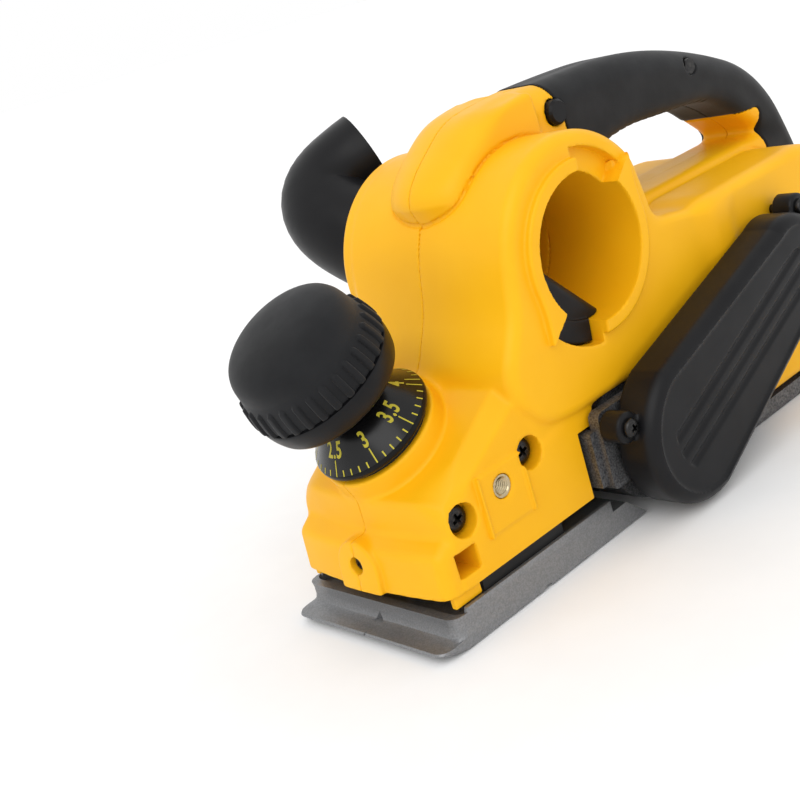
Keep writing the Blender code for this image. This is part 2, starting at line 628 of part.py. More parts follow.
def handle_controls():
    """Switch, trigger with its spring, cross-bolt lock-off button, soft grip and the cord inlet."""
    from_bmesh("switch_body", box((-27, -9, 147.3), (10, 9, 157)), "black_plastic")
    pivot = axis_frame("trigger_axis", 16, 0, 144, (0, 1, 0))
    outline = [(13, 141.5, 2), (19, 146.4, 2), (-22, 140.9, 1), (-23, 133.8, 2), (-8, 129.2, 6), (9, 130.5, 3)]
    trigger = from_bmesh("trigger", prism(fillets(outline), -4.9, 4.9), "black_plastic")
    trigger.parent = pivot
    trigger.matrix_parent_inverse = pivot.matrix_world.inverted()
    button = turned([(0, -20.5), (4, -20.5), (4.9, -19.5), (4.9, 19.5), (4, 20.5), (0, 20.5)], 24)
    from_bmesh("lock_off_button", axial(*LOCK_OFF, button), "black_plastic")
    gland = turned([(3.6, 0), (7.5, 0), (6.2, 14), (3.6, 14)], 24)
    placed = Matrix.Translation((-153.2, 0, 30)) @ Matrix.Rotation(math.radians(-90), 4, "Y")
    from_bmesh("cord_gland", transformed(gland, placed), "belt_rubber")


def main():
    clear_scene()
    housing_half(1)
    housing_half(-1)
    base_casting()
    front_shoe()
    depth_adjuster()
    cutter_assembly()
    motor()
    belt_drive()
    chip_chute()
    chip_deflector()
    side_fittings()
    drum_end_cap()
    parking_foot()
    handle_controls()


main()
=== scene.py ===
"""Looks of the electric hand planer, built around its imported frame. Lengths are in millimetres unless
a name says otherwise, and each mesh is scaled to metres when it is made. +X is forward, +Y left, +Z up."""

import json
import math

import bmesh
import bpy
import numpy as np
from mathutils import Matrix, Vector

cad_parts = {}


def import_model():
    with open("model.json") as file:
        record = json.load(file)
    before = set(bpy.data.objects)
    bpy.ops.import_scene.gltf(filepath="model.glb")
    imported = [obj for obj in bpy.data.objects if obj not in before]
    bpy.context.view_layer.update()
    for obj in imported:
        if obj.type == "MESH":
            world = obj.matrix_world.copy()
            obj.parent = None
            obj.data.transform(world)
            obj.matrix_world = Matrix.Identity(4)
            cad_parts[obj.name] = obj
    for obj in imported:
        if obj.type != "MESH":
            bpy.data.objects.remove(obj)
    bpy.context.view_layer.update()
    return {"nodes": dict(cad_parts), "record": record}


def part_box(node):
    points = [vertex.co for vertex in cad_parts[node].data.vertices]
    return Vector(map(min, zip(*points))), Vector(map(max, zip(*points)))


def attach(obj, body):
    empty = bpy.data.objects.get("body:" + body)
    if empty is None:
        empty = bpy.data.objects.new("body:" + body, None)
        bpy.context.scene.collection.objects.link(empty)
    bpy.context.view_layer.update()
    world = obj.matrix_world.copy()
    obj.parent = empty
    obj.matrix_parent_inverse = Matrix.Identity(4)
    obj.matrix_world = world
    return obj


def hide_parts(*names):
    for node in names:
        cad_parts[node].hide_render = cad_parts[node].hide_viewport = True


MM = 0.001

# The view: a camera turned about the threaded insert's level on the centre plane.
VIEW_PIVOT = (115.0, 0.0, 45.0)
VIEW_AZIMUTH = math.radians(52.985)
VIEW_ELEVATION = math.radians(17.625)
VIEW_ROLL = math.radians(17.21)
VIEW_DISTANCE = 463.77
VIEW_OFFSET = (-8.547, 27.61)
VIEW_LENS = 56.16

# The stage: a white surround and one soft sun.
KEY_FROM = (0.65, 0.5, 0.78)
KEY_ANGLE = math.radians(50)
KEY_STRENGTH = 0.9
FLOOR_REACH = 60000
FLOOR_LEVEL_M = -0.0005

# Most of a noise texture's values lie between these.
NOISE_LOW, NOISE_HIGH = 0.3, 0.7

# Knob and dial, on an axis tilted forward. Their profiles are (radius, height) along it.
DIAL_CENTRE = Vector((131.4, 0.0, 74.2))
DIAL_TILT = math.radians(28.65)
DIAL_RIM_RADIUS = 24.3
DIAL_MARKS = 41
DIAL_REST_MARK = 4
CONE_RUN, CONE_RISE = 10.3, 10.2
RIB_COUNT = 30
RIB_HALF_WIDTH = 1.35
RIB_FOOT, RIB_TOP = 29.0, 39.2
KNOB_UNDERSIDE = [(0, 29.2), (24.5, 29.2), (27.4, 29.2)]
KNOB_SIDE = [(27.6, 29.4), (27.65, 30.2), (27.6, 31.5), (27.3, 34), (26.7, 37), (26.2, 39), (25.6, 41)]
KNOB_DOME = [(25.6, 41), (25.2, 43.8), (24.3, 46.9), (22.2, 49.9), (18, 52.4), (11, 54.2), (4.5, 54.9), (0, 55)]
NECK = [
    (0, 11.4), (11.3, 11.4), (11.9, 11.7), (12.6, 13.2), (14.4, 15.3), (17.2, 16.9), (21.0, 17.7), (24.6, 18.3),
    (26.3, 19.8), (27.1, 21.6), (27.8, 24.0), (28.2, 26.6), (28.2, 28.2), (27.8, 28.7), (26.4, 28.75),
    (26.4, 29.1), (0, 29.1),
]
CONE = [(5, 0.1), (24.05, 0.1), (23.9, 0.35), (14.3, 9.9), (13.6, 10.5), (11.2, 10.9), (5, 10.9), (5, 0.1)]
DIAL_RIM = [
    (5, -2.8), (23.7, -2.8), (24.2, -2.3), (24.4, -1.4), (24.35, -0.5), (24.1, 0.05), (5, 0.05), (5, -2.8),
]
# A dark ring under the dial's rim: painted shadow that darkens the gap between the dial and the boss.
DIAL_SHADOW_RING = [(5, -5.1), (21.6, -5.1), (21.6, -2.85), (5, -2.85), (5, -5.1)]

# Seat under the dial, by height on the knob's axis.
BOSS_RADIUS = 23.9
BOSS_TOP, BOSS_FOOT = -5.5, -24

# Housing. A bow is how far a front face falls back at the side, and a wall is where a hollow ends sideways.
SEAM_GAP = 0.03
SHELL_BOX = (-160, -2.0, 4), (160, 52, 172)
NOSE_BOW, LEDGE_BOW, COLUMN_BOW, BARREL_BOW = 4.2, 3.6, 3.1, 1.2
NOSE_HALF_WIDTH = 41.0
NOSE_REAR_X = 59.0
TOE_MARK_APEX_Z = 11.9
TOE_MARK_FOOT_Z = 4.6
TOE_MARK_HALF = 3.2
SHELL_FOOT_Z = 18.6
SCREW_PAD_Z = 26.5
SCREW_PAD_RADIUS = 11.2
BODY_HALF_WIDTH = 44.2
MOTOR_FRONT_HALF_WIDTH = 42.7
MOTOR_HALF_WIDTH = 45.5
BARREL_HALF_WIDTH = 48.7
BARREL_RADIUS = 42.0
HANDLE_HALF_WIDTH = 18.0
PORT = (47.0, 108.0)
PORT_RADIUS = 27.5
COLLAR_RADIUS = 32.5
COLLAR_END = 47.0
COLLAR_FOOT = -40
FLARE, FLARE_ARC = 8, 31
NOTCH_MIDDLE, NOTCH_HALF_ARC = 157.5, 22.5
NOTCH_RADIUS = 36
ARC_RISE = 0.55
INSERT = (115.0, 45.0)
INSERT_PAD = (102.5, 30.2), (126.5, 52.9)
PAD_FACE, PAD_RIDGE_FACE = 42.0, 42.9
PAD_RIDGES = (103.3, 125.7)
GUIDE_WALL = (131.6, 21.3), (145.6, 34.7)
GUIDE_HOLE = (133.6, 23.3), (143.6, 32.7)
DRUM = (32.0, 32.0)
MOTOR = (-48.0, 64.0)
REAR_WALL = 42.4
LOCK_OFF = (18.0, 152.5)
TRIGGER_SLOT = (-24, 124), (14, 146)
SCREW_RECESSES = ((135.0, 41.9), (98.0, 49.7))
HANDLE_SCREWS = ((-70.0, 147.5), (-136.0, 60.0))
FRONT_SCREW_Z = 28.4
VENT_COUNT, VENT_SPACING = 5, 8
VENT_FOOT, VENT_RUN = (-119, 36), (7, 26)
COVER_SCREWS = ((64.0, 44.8), (-66.0, 84.0))
DRUM_PULLEY = 19.0
MOTOR_PULLEY = 11.0

# Handle's tongue on the column.
TONGUE_START = (30, 112)
TONGUE_FRONT_X = 85.2
TONGUE_BROW_Z = 137
TONGUE_TOP = (62, 162)
TONGUE_HALF_WIDTH = 20
TONGUE_CAP_Z, TONGUE_CAP_FALL = 165.2, 0.107

# Cell size of the solid fields.
FINE_PITCH = 0.8


# ---------------------------------------------------------------- materials


class Shader:
    """A Principled material and the small set of nodes that give its colour, roughness and relief."""

    def __init__(self, name, roughness, metallic=0.0, gloss=0.5, sheen=0.0):
        self.material = bpy.data.materials.new(name)
        self.material.use_nodes = True
        self.tree = self.material.node_tree
        self.shader = self.tree.nodes["Principled BSDF"]
        self.shader.inputs["Roughness"].default_value = roughness
        self.shader.inputs["Metallic"].default_value = metallic
        self.shader.inputs["Specular IOR Level"].default_value = gloss
        self.shader.inputs["Sheen Weight"].default_value = sheen
        self.place = self.tree.nodes.new("ShaderNodeTexCoord").outputs["Object"]

    def link(self, output, target):
        self.tree.links.new(output, target)

    def noise(self, size, detail=3.0, stretch=(1.0, 1.0, 1.0)):
        """Noise of about this size in millimetres, drawn out along the axes by stretch."""
        node = self.tree.nodes.new("ShaderNodeTexNoise")
        node.inputs["Scale"].default_value = 1.0 / (size * MM)
        node.inputs["Detail"].default_value = detail
        mapping = self.tree.nodes.new("ShaderNodeMapping")
        mapping.inputs["Scale"].default_value = stretch
        self.link(self.place, mapping.inputs["Vector"])
        self.link(mapping.outputs["Vector"], node.inputs["Vector"])
        return node.outputs["Fac"]

    def colours(self, source, *stops):
        """Colour from a source through (position, colour) stops."""
        ramp = self.tree.nodes.new("ShaderNodeValToRGB")
        elements = ramp.color_ramp.elements
        while len(elements) < len(stops):
            elements.new(0.5)
        for element, (position, colour) in zip(elements, stops):
            element.position = position
            element.color = (*colour, 1.0)
        self.link(source, ramp.inputs["Fac"])
        self.link(ramp.outputs["Color"], self.shader.inputs["Base Color"])
        return self

    def roughness(self, source, low, high):
        spread = self.tree.nodes.new("ShaderNodeMapRange")
        spread.inputs["From Min"].default_value = NOISE_LOW
        spread.inputs["From Max"].default_value = NOISE_HIGH
        spread.inputs["To Min"].default_value = low
        spread.inputs["To Max"].default_value = high
        self.link(source, spread.inputs["Value"])
        self.link(spread.outputs["Result"], self.shader.inputs["Roughness"])
        return self

    def relief(self, *layers):
        """Bumps from (source, depth in millimetres, strength) layers, the first lying under the rest."""
        below = None
        for source, depth, strength in layers:
            bump = self.tree.nodes.new("ShaderNodeBump")
            bump.inputs["Distance"].default_value = depth * MM
            bump.inputs["Strength"].default_value = strength
            self.link(source, bump.inputs["Height"])
            if below:
                self.link(below, bump.inputs["Normal"])
            below = bump.outputs["Normal"]
        self.link(below, self.shader.inputs["Normal"])
        return self


def moulded(name, dark, light, rough_low, rough_high, grain=0.35, depth=0.02, gloss=0.3, sheen=0.0):
    """Moulded plastic: a fine spark-eroded grain, slow sink waves and a slight unevenness of colour."""
    shader = Shader(name, rough_low, gloss=gloss, sheen=sheen)
    shader.colours(shader.noise(26, 4), (NOISE_LOW, dark), (NOISE_HIGH, light))
    shader.roughness(shader.noise(9, 5), rough_low, rough_high)
    shader.relief((shader.noise(14, 2), 0.25, 0.12), (shader.noise(grain, 2), depth, 0.5))
    return shader.material


def cast(name, dark, light, rough_low, rough_high, grain=0.5, depth=0.08, stretch=(1, 1, 1)):
    """Cast or milled metal: speckled colour, uneven gloss and a pitted skin."""
    shader = Shader(name, rough_low, metallic=0.75)
    shader.colours(shader.noise(grain * 1.6, 6, stretch), (0.35, dark), (0.65, light))
    shader.roughness(shader.noise(5, 6), rough_low, rough_high)
    shader.relief((shader.noise(7, 4), 0.2, 0.2), (shader.noise(grain, 4, stretch), depth, 0.6))
    return shader.material


def turned_metal(name, dark, light, rough_low, rough_high, stretch=(1, 14, 1)):
    """Turned or ground metal: fine drawn-out tool marks."""
    shader = Shader(name, rough_low, metallic=1.0)
    marks = shader.noise(1.2, 5, stretch)
    shader.colours(marks, (NOISE_LOW, dark), (NOISE_HIGH, light))
    shader.roughness(shader.noise(3, 4), rough_low, rough_high)
    shader.relief((marks, 0.02, 0.4))
    return shader.material


MATERIALS = {
    "yellow_housing": moulded(
        "yellow_housing", (0.87, 0.43, 0.004), (0.90, 0.46, 0.006), 0.38, 0.46, grain=0.3, depth=0.012,
        gloss=0.2,
    ),
    "black_plastic": moulded(
        "black_plastic", (0.005, 0.005, 0.006), (0.009, 0.009, 0.01), 0.32, 0.44, gloss=0.18
    ),
    "dial_plastic": moulded(
        "dial_plastic", (0.002, 0.002, 0.0022), (0.004, 0.004, 0.0044), 0.2, 0.27, depth=0.006, gloss=0.35
    ),
    "print_yellow": moulded("print_yellow", (0.5, 0.43, 0.03), (0.6, 0.5, 0.04), 0.4, 0.5),
    "soft_grip": moulded(
        "soft_grip", (0.006, 0.0062, 0.007), (0.012, 0.0125, 0.014), 0.55, 0.7, grain=0.5, depth=0.05,
        gloss=0.16, sheen=0.1,
    ),
    "cast_aluminium": cast("cast_aluminium", (0.07, 0.072, 0.075), (0.2, 0.2, 0.205), 0.38, 0.55),
    "shoe_metal": cast(
        "shoe_metal", (0.2, 0.203, 0.208), (0.27, 0.272, 0.277), 0.38, 0.5, grain=0.4, depth=0.05
    ),
    "dial_rim": moulded(
        "dial_rim", (0.006, 0.006, 0.0065), (0.01, 0.01, 0.0105), 0.2, 0.27, depth=0.003, gloss=0.12
    ),
    "machined_steel": turned_metal("machined_steel", (0.42, 0.42, 0.43), (0.62, 0.62, 0.63), 0.2, 0.34),
    "black_steel": turned_metal("black_steel", (0.02, 0.02, 0.022), (0.06, 0.058, 0.056), 0.28, 0.42),
    "brass": turned_metal("brass", (0.42, 0.34, 0.2), (0.62, 0.52, 0.34), 0.2, 0.32),
    "copper": turned_metal("copper", (0.5, 0.2, 0.09), (0.68, 0.3, 0.14), 0.3, 0.4),
    "belt_rubber": moulded("belt_rubber", (0.012, 0.012, 0.012), (0.022, 0.022, 0.022), 0.6, 0.75, depth=0.03),
    "floor": moulded("floor", (0.91, 0.91, 0.91), (0.93, 0.93, 0.93), 0.7, 0.8, grain=3, depth=0.01),
}


# ---------------------------------------------------------------- meshes


def object_from(name, points, faces, material, sharp_angle=40.0):
    """An object from points in millimetres and an array of faces that index them, all with as many sides."""
    mesh = bpy.data.meshes.new(name)
    count, sides = faces.shape
    mesh.vertices.add(len(points))
    mesh.vertices.foreach_set("co", (np.asarray(points) * MM).astype(np.float32).ravel())
    mesh.loops.add(faces.size)
    mesh.loops.foreach_set("vertex_index", faces.ravel().astype(np.int32))
    mesh.polygons.add(count)
    mesh.polygons.foreach_set("loop_start", (np.arange(count) * sides).astype(np.int32))
    mesh.update(calc_edges=True)
    mesh.validate()
    return dressed(name, mesh, material, sharp_angle)


def dressed(name, mesh, material, sharp_angle):
    """Puts a finished mesh into the scene with its material and its sharp edges marked."""
    mesh.materials.append(MATERIALS[material])
    mesh.shade_smooth()
    mesh.set_sharp_from_angle(angle=math.radians(sharp_angle))
    obj = bpy.data.objects.new(name, mesh)
    bpy.context.scene.collection.objects.link(obj)
    return obj


def from_bmesh(name, bm, material, sharp_angle=40.0):
    """An object from a bmesh in millimetres."""
    bmesh.ops.recalc_face_normals(bm, faces=bm.faces)
    bmesh.ops.scale(bm, vec=(MM, MM, MM), verts=bm.verts)
    mesh = bpy.data.meshes.new(name)
    bm.to_mesh(mesh)
    bm.free()
    return dressed(name, mesh, material, sharp_angle)


def revolved(profile, steps, relief=None):
    """Points and quads of a (radius, height) profile turned about Z.

    relief(angle, height) adds to the radius."""
    angles = np.linspace(0, 2 * math.pi, steps, endpoint=False)
    points = []
    for radius, height in profile:
        raised = radius if relief is None or radius == 0 else radius + relief(angles, height)
        points.append(np.stack([raised * np.cos(angles), raised * np.sin(angles), np.full(steps, height)], 1))
    rows = len(profile)
    row, col = np.meshgrid(np.arange(rows - 1), np.arange(steps), indexing="ij")
    after = (col + 1) % steps
    low, high = row * steps, (row + 1) * steps
    quads = np.stack([low + col, low + after, high + after, high + col], -1)
    return np.concatenate(points), quads.reshape(-1, 4)


def smooth_profile(points, steps=6):
    """Points of a Catmull-Rom curve through a short profile. A repeated point keeps a corner."""
    ends = [points[0], *points, points[-1]]
    curve = []
    for i in range(1, len(ends) - 2):
        before, start, end, after = (np.array(p, float) for p in ends[i - 1:i + 3])
        for step in range(steps):
            t = step / steps
            square = 2 * before - 5 * start + 4 * end - after
            cube = 3 * start - before - 3 * end + after
            curve.append(0.5 * (2 * start + (end - before) * t + square * t ** 2 + cube * t ** 3))
    curve.append(np.array(points[-1], float))
    return curve


KNOB_PLACE = Matrix.Translation(DIAL_CENTRE) @ Matrix.Rotation(DIAL_TILT, 4, "Y")


def placed(points, matrix):
    turn = np.array(matrix)
    return np.asarray(points) @ turn[:3, :3].T + turn[:3, 3]


def turned_piece(name, profile, steps, matrix, material, sharp_angle):
    """A profile turned about the placement's Z."""
    points, quads = revolved(profile, steps)
    return object_from(name, placed(points, matrix), quads, material, sharp_angle)


def across_body(x, z):
    """The placement that lays local Z along +Y, through (x, z)."""
    return Matrix.Translation((x, 0, z)) @ Matrix.Rotation(math.radians(-90), 4, "X")


# ---------------------------------------------------------------- solid fields for the housing


def smooth_min(a, b, blend):
    share = np.clip(0.5 + 0.5 * (b - a) / blend, 0, 1)
    return b + (a - b) * share - blend * share * (1 - share)


def smooth_max(a, b, blend):
    return -smooth_min(-a, -b, blend)


def convex(a, b, corners, soft=3.0):
    """Distance to a convex outline given clockwise or anticlockwise, its corners eased by soft."""
    outline = np.array(corners, float)
    following = np.roll(outline, -1, 0)
    area = (outline[:, 0] * following[:, 1] - following[:, 0] * outline[:, 1]).sum()
    result = None
    for (a0, b0), (a1, b1) in zip(outline, following):
        length = math.hypot(a1 - a0, b1 - b0)
        edge = math.copysign(1, area) * ((b1 - b0) * (a - a0) - (a1 - a0) * (b - b0)) / length
        result = edge if result is None else smooth_max(result, edge, soft)
    return result


def slab(outline, y, half_width, rounding):
    """An outline's distance carried out to half_width on both sides, with a rounded rim."""
    inward, outward = outline + rounding, y - half_width + rounding
    corner = np.hypot(np.maximum(inward, 0), np.maximum(outward, 0))
    return np.minimum(np.maximum(inward, outward), 0) + corner - rounding


def disc(a, b, centre, radius):
    return np.hypot(a - centre[0], b - centre[1]) - radius


def block(a, b, low, high):
    """Distance to an upright rectangle."""
    return np.maximum(np.maximum(low[0] - a, a - high[0]), np.maximum(low[1] - b, b - high[1]))


def knob_axis(x, y, z):
    """Height along the knob's axis and distance from it."""
    dx, dz = x - DIAL_CENTRE.x, z - DIAL_CENTRE.z
    height = dx * math.sin(DIAL_TILT) + dz * math.cos(DIAL_TILT)
    across = dx * math.cos(DIAL_TILT) - dz * math.sin(DIAL_TILT)
    return height, np.hypot(across, y)


LEDGE = ((60, 10), (155.2, 10), (153.3, 34.3), (146, 39.4), (60, 60))
NOSE_UPPER = ((60, 10), (147.6, 10), (146.5, 51), (60, 101))
COLUMN = (
    (-33, 52.4), (82, 52.4), (92.5, 55.8), (103, 67), (103.8, 80), (82.4, 119), (60, 119), (2, 106), (-33, 97),
)
MOTOR_BLOCK = ((-134, 9), (-33, 9), (-20, 104), (-104, 104), (-131, 78))
MOTOR_FRONT = ((-40, 25.5), (-8, 25.5), (-1.5, 54), (-40, 54))
HANDLE_ARCH = (
    (60, 112), (73, 122), (71, 153), (62, 163), (20, 167.5), (-60, 161.5), (-122, 135), (-148, 84), (-151, 60),
    (-120, 60),
)
HANDLE_POST = ((-148, 84), (-154, 8.6), (-122, 8.6), (-118, 84))
FINGER_GAP = ((4, 106), (8, 128), (-16, 136), (-84, 131), (-116, 106))
NOSE_HOLLOW = ((72, 4), (72, 62), (99, 65), (135, 46), (142, 37), (147, 31), (147, 4))
REAR_HOLLOW = ((-128, -4), (-128, 70), (-100, 92), (-60, 92), (-36, 60), (-36, -4))
HANDLE_HOLLOW = ((56, 141), (50, 155), (16, 161.5), (-56, 155), (-88, 140), (-60, 139))
SKIN_TOP = ((22, 190), (8, 119), (-119, 119), (-170, 190))
SKIN_REAR = ((-112, 130), (-112, 78), (-170, 66), (-170, 130))


def bow(x, y, depth):
    """x as seen by an outline whose front face bows back by depth at the side."""
    return x + depth * (y / NOSE_HALF_WIDTH) ** 2


def nose_field(x, y, z):
    """Nose with its sloping shoulders, the stepped front ledge and the screw pad."""
    height, _ = knob_axis(x, y, z)
    upper = slab(convex(bow(x, y, NOSE_BOW), z, NOSE_UPPER, 1.5), y, NOSE_HALF_WIDTH, 1.0)
    shoulder = 0.68 * (y - 35.6) + 0.735 * (height + 14.4)
    upper = smooth_max(upper, shoulder, 0.8 + 5 * np.clip((x - 128) / 12, 0, 1))
    ledge = slab(convex(bow(x, y, LEDGE_BOW), z, LEDGE, 1.6), y, NOSE_HALF_WIDTH, 4.5)
    nose = smooth_min(upper, ledge, 2.0)
    rise = z - SCREW_PAD_Z
    pad = np.hypot(y, np.minimum(rise, 0) * 0.3 + np.maximum(rise, 0)) - SCREW_PAD_RADIUS
    pad = smooth_max(pad, x - 157.4 + 0.12 * (z - 16) + 0.004 * y ** 2, 0.9)
    return smooth_min(nose, smooth_max(pad, 130 - x, 1), 1.0)


def boss_field(x, y, z):
    """The round seat under the dial."""
    height, radius = knob_axis(x, y, z)
    above = height - BOSS_TOP
    seat = smooth_max(radius - BOSS_RADIUS + 0.06 * above, above, 0.8)
    return smooth_max(seat, BOSS_FOOT - height, 1)


def body_field(x, y, z, side):
    """Motor block and column. The barrel round the chip tunnel stands further out on the right."""
    barrel = disc(bow(x, y, BARREL_BOW), z, PORT, BARREL_RADIUS)
    front_wall = smooth_min(convex(bow(x, y, COLUMN_BOW), z, COLUMN, 3), barrel, 8)
    column = slab(front_wall, y, BODY_HALF_WIDTH, 4.5)
    motor = slab(convex(x, z, MOTOR_BLOCK, 9), y, MOTOR_HALF_WIDTH, 6)
    front = slab(convex(x, z, MOTOR_FRONT, 1.5), y, MOTOR_FRONT_HALF_WIDTH, 1.5)
    body = smooth_min(column, smooth_min(motor, front, 1.5), 8)
    return body if side > 0 else smooth_min(body, slab(barrel, y, BARREL_HALF_WIDTH, 2.5), 1)


def handle_field(x, y, z):
    """Arched handle with its rear post, and the tongue that carries it over the column."""
    arch = slab(convex(x, z, HANDLE_ARCH, 14), y, HANDLE_HALF_WIDTH, 11)
    post = slab(convex(x, z, HANDLE_POST, 5), y, HANDLE_HALF_WIDTH, 8)
    above, below = np.maximum(z - TONGUE_BROW_Z, 0), np.maximum(TONGUE_BROW_Z - z, 0)
    front = x - TONGUE_FRONT_X + 0.0195 * y ** 2 + 0.4 * below + 0.045 * above ** 2
    top = 0.83 * (z - TONGUE_TOP[1]) + 0.56 * (x - TONGUE_TOP[0]) + 0.012 * y ** 2
    tongue = smooth_max(smooth_max(0.9 * front, top, 6), y - TONGUE_HALF_WIDTH, 6)
    tongue = smooth_max(tongue, np.maximum(TONGUE_START[0] - x, TONGUE_START[1] - z), 1)
    tongue = smooth_max(tongue, z - TONGUE_CAP_Z + TONGUE_CAP_FALL * (x - 20), 3)
    return smooth_min(smooth_min(arch, post, 8), tongue, 4)


def past_collar_foot(x, z, period):
    """Degrees round the port from the collar's foot, which comes again each period."""
    return np.mod(np.degrees(np.arctan2(z - PORT[1], x - PORT[0])) - COLLAR_FOOT, period)


def with_collar(body, x, y, z):
    """Adds the bayonet ring round a chip port: two segments, each with a flared foot and a notch after it."""
    past_foot = past_collar_foot(x, z, 180)
    flare = FLARE * np.clip(1 - past_foot / FLARE_ARC, 0, 1) ** 2.5
    ring = slab(disc(x, z, PORT, COLLAR_RADIUS + flare), y, COLLAR_END, 0.8)
    sector = ARC_RISE * (np.abs(past_foot - NOTCH_MIDDLE) - NOTCH_HALF_ARC)
    ring = smooth_max(ring, -sector, 0.6)
    body = smooth_min(body, np.maximum(ring, 30 - y), 0.8)
    notch = np.maximum(sector, disc(x, z, PORT, NOTCH_RADIUS))
    notch = np.maximum(notch, np.where(x > PORT[0], 30, 39.5) - y)
    return smooth_max(body, -notch, 0.6)


def outer_field(x, y, z, side):
    """The whole outside of one half, before anything is hollowed out."""
    boss, nose = boss_field(x, y, z), nose_field(x, y, z)
    body = smooth_min(body_field(x, y, z, side), boss, 9)
    body = smooth_min(body, smooth_min(nose, boss, 1.2), 1.4)
    handle = handle_field(x, y, z)
    crease = np.hypot(body, handle) - 0.6
    body = smooth_max(smooth_min(body, handle, 0.5), -crease, 0.3)
    body = with_collar(body, x, y, z)
    gap = slab(convex(x, z, FINGER_GAP, 8), y, 100, 0.5)
    return smooth_max(body, -gap, 7)


def cavity_field(x, y, z):
    """All that is hollow inside the shells, and the tunnel that runs through them."""
    nose = np.maximum(convex(x, z, NOSE_HOLLOW, 1.5), y - 38.2)
    motor = np.maximum(np.maximum(disc(x, z, MOTOR, 38.5), z - 100.2), y - REAR_WALL)
    rear = np.maximum(convex(x, z, REAR_HOLLOW, 3), y - REAR_WALL)
    drum = np.maximum(disc(x, z, DRUM, 36), y - 41.6)
    duct = np.maximum(block(x, z, (40, 50), (66, 95)), y - 28)
    pocket = np.maximum(block(x, z, (60, 14), (73, 45)), np.maximum(25.5 - y, y - 60))
    handle = np.maximum(convex(x, z, HANDLE_HOLLOW, 2), y - 13)
    slot = np.maximum(block(x, z, *TRIGGER_SLOT), y - 5.2)
    button, tunnel = disc(x, z, LOCK_OFF, 5.2), disc(x, z, PORT, PORT_RADIUS)
    result = nose
    for hollow in (motor, rear, drum, duct, pocket, handle, slot, button, tunnel):
        result = np.minimum(result, hollow)
    height, radius = knob_axis(x, y, z)
    return np.minimum(result, np.maximum(radius - 9, -30 - height))


def vent_field(x, y, z):
    """Slanted cooling slots through the wall behind the motor."""
    along = np.clip((z - VENT_FOOT[1]) / VENT_RUN[1], 0, 1)
    slots = None
    for step in range(VENT_COUNT):
        foot = VENT_FOOT[0] + VENT_SPACING * step
        slot = np.hypot(x - foot - VENT_RUN[0] * along, z - VENT_FOOT[1] - VENT_RUN[1] * along) - 1.5
        slots = slot if slots is None else np.minimum(slots, slot)
    return np.maximum(slots, 38 - y)


def shell_field(x, y, z, side):
    """One half of the housing. y is measured outwards from the parting plane."""
    outer = outer_field(x, y, z, side)
    shell = smooth_max(outer, -cavity_field(x, y, z), 0.5)
    seats = disc(x, z, INSERT, 7.5)
    for centre in SCREW_RECESSES:
        seats = np.minimum(seats, disc(x, z, centre, 7.6 if side > 0 else 5))
    seats = np.maximum(seats, 32.4 - y)
    seats = np.minimum(seats, np.maximum(block(x, z, *GUIDE_WALL), 18 - y))
    shell = np.minimum(shell, np.maximum(seats, outer))
    pad = slab(block(x, z, *INSERT_PAD), y, PAD_FACE, 0.3)
    (_, low), (_, high) = INSERT_PAD
    for middle in PAD_RIDGES:
        ridge = block(x, z, (middle - 0.8, low), (middle + 0.8, high))
        pad = np.minimum(pad, slab(ridge, y, PAD_RIDGE_FACE, 0.3))
    shell = smooth_min(shell, np.maximum(pad, 39.5 - y), 0.25)
    shell = smooth_max(shell, SHELL_FOOT_Z - z - np.where(x < NOSE_REAR_X, 60, 0), 0.8)
    lip = np.maximum(block(x, z, (135.2, 14.2), (148.2, 20)), np.abs(y - 38.6) - 1.3)
    shell = np.minimum(shell, lip)
    holes = [
        disc(x, z, INSERT, 4.5),
        np.maximum(block(x, z, *GUIDE_HOLE), 20 - y),
        np.maximum(disc(y, z, (0, FRONT_SCREW_Z), 3.3), 144 - x),
    ]
    if side > 0:
        holes += [np.maximum(disc(x, z, centre, 6.1), 34 - y) for centre in SCREW_RECESSES]
        holes += [np.maximum(disc(x, z, centre, 3.6), 15.6 - y) for centre in HANDLE_SCREWS]
        holes.append(np.maximum(disc(x, z, MOTOR, 4.8), 38 - y))
    holes.append(vent_field(x, y, z))
    for hole in holes:
        shell = smooth_max(shell, -hole, 0.7)
    shell = smooth_max(shell, -(skin_field(x, y, z, outer) - 0.1), 0.3)
    return smooth_max(shell, SEAM_GAP - y, 0.16)


def skin_field(x, y, z, outer):
    """The soft layer moulded over the handle."""
    rear = smooth_max(convex(x, z, SKIN_REAR, 4), y - 19.5, 2)
    zone = smooth_min(convex(x, z, SKIN_TOP, 4), rear, 4)
    return smooth_max(smooth_max(outer - 0.3, -outer - 2.6, 0.3), zone, 0.8)


def grip_field(x, y, z, side):
    """One half of the soft layer, with its openings and the finger ribs under the handle."""
    outer = outer_field(x, y, z, side)
    grip = skin_field(x, y, z, outer)
    holes = [np.maximum(block(x, z, *TRIGGER_SLOT), y - 5.4), disc(x, z, LOCK_OFF, 5.3)]
    if side > 0:
        holes += [np.maximum(disc(x, z, centre, 3.7), 12 - y) for centre in HANDLE_SCREWS]
    for hole in holes:
        grip = smooth_max(grip, -hole, 0.5)
    ribs = 0.35 * np.clip(np.cos(x * 2 * math.pi / 5.2) * 3, -1, 1)
    grip = grip + np.where((z < 140) & (y < 15) & (x > -80) & (x < 0), ribs * 0.5, 0)
    return smooth_max(grip, SEAM_GAP - y, 0.16)


def sampled(field, points):
    return field(points[:, 0], points[:, 1], points[:, 2])


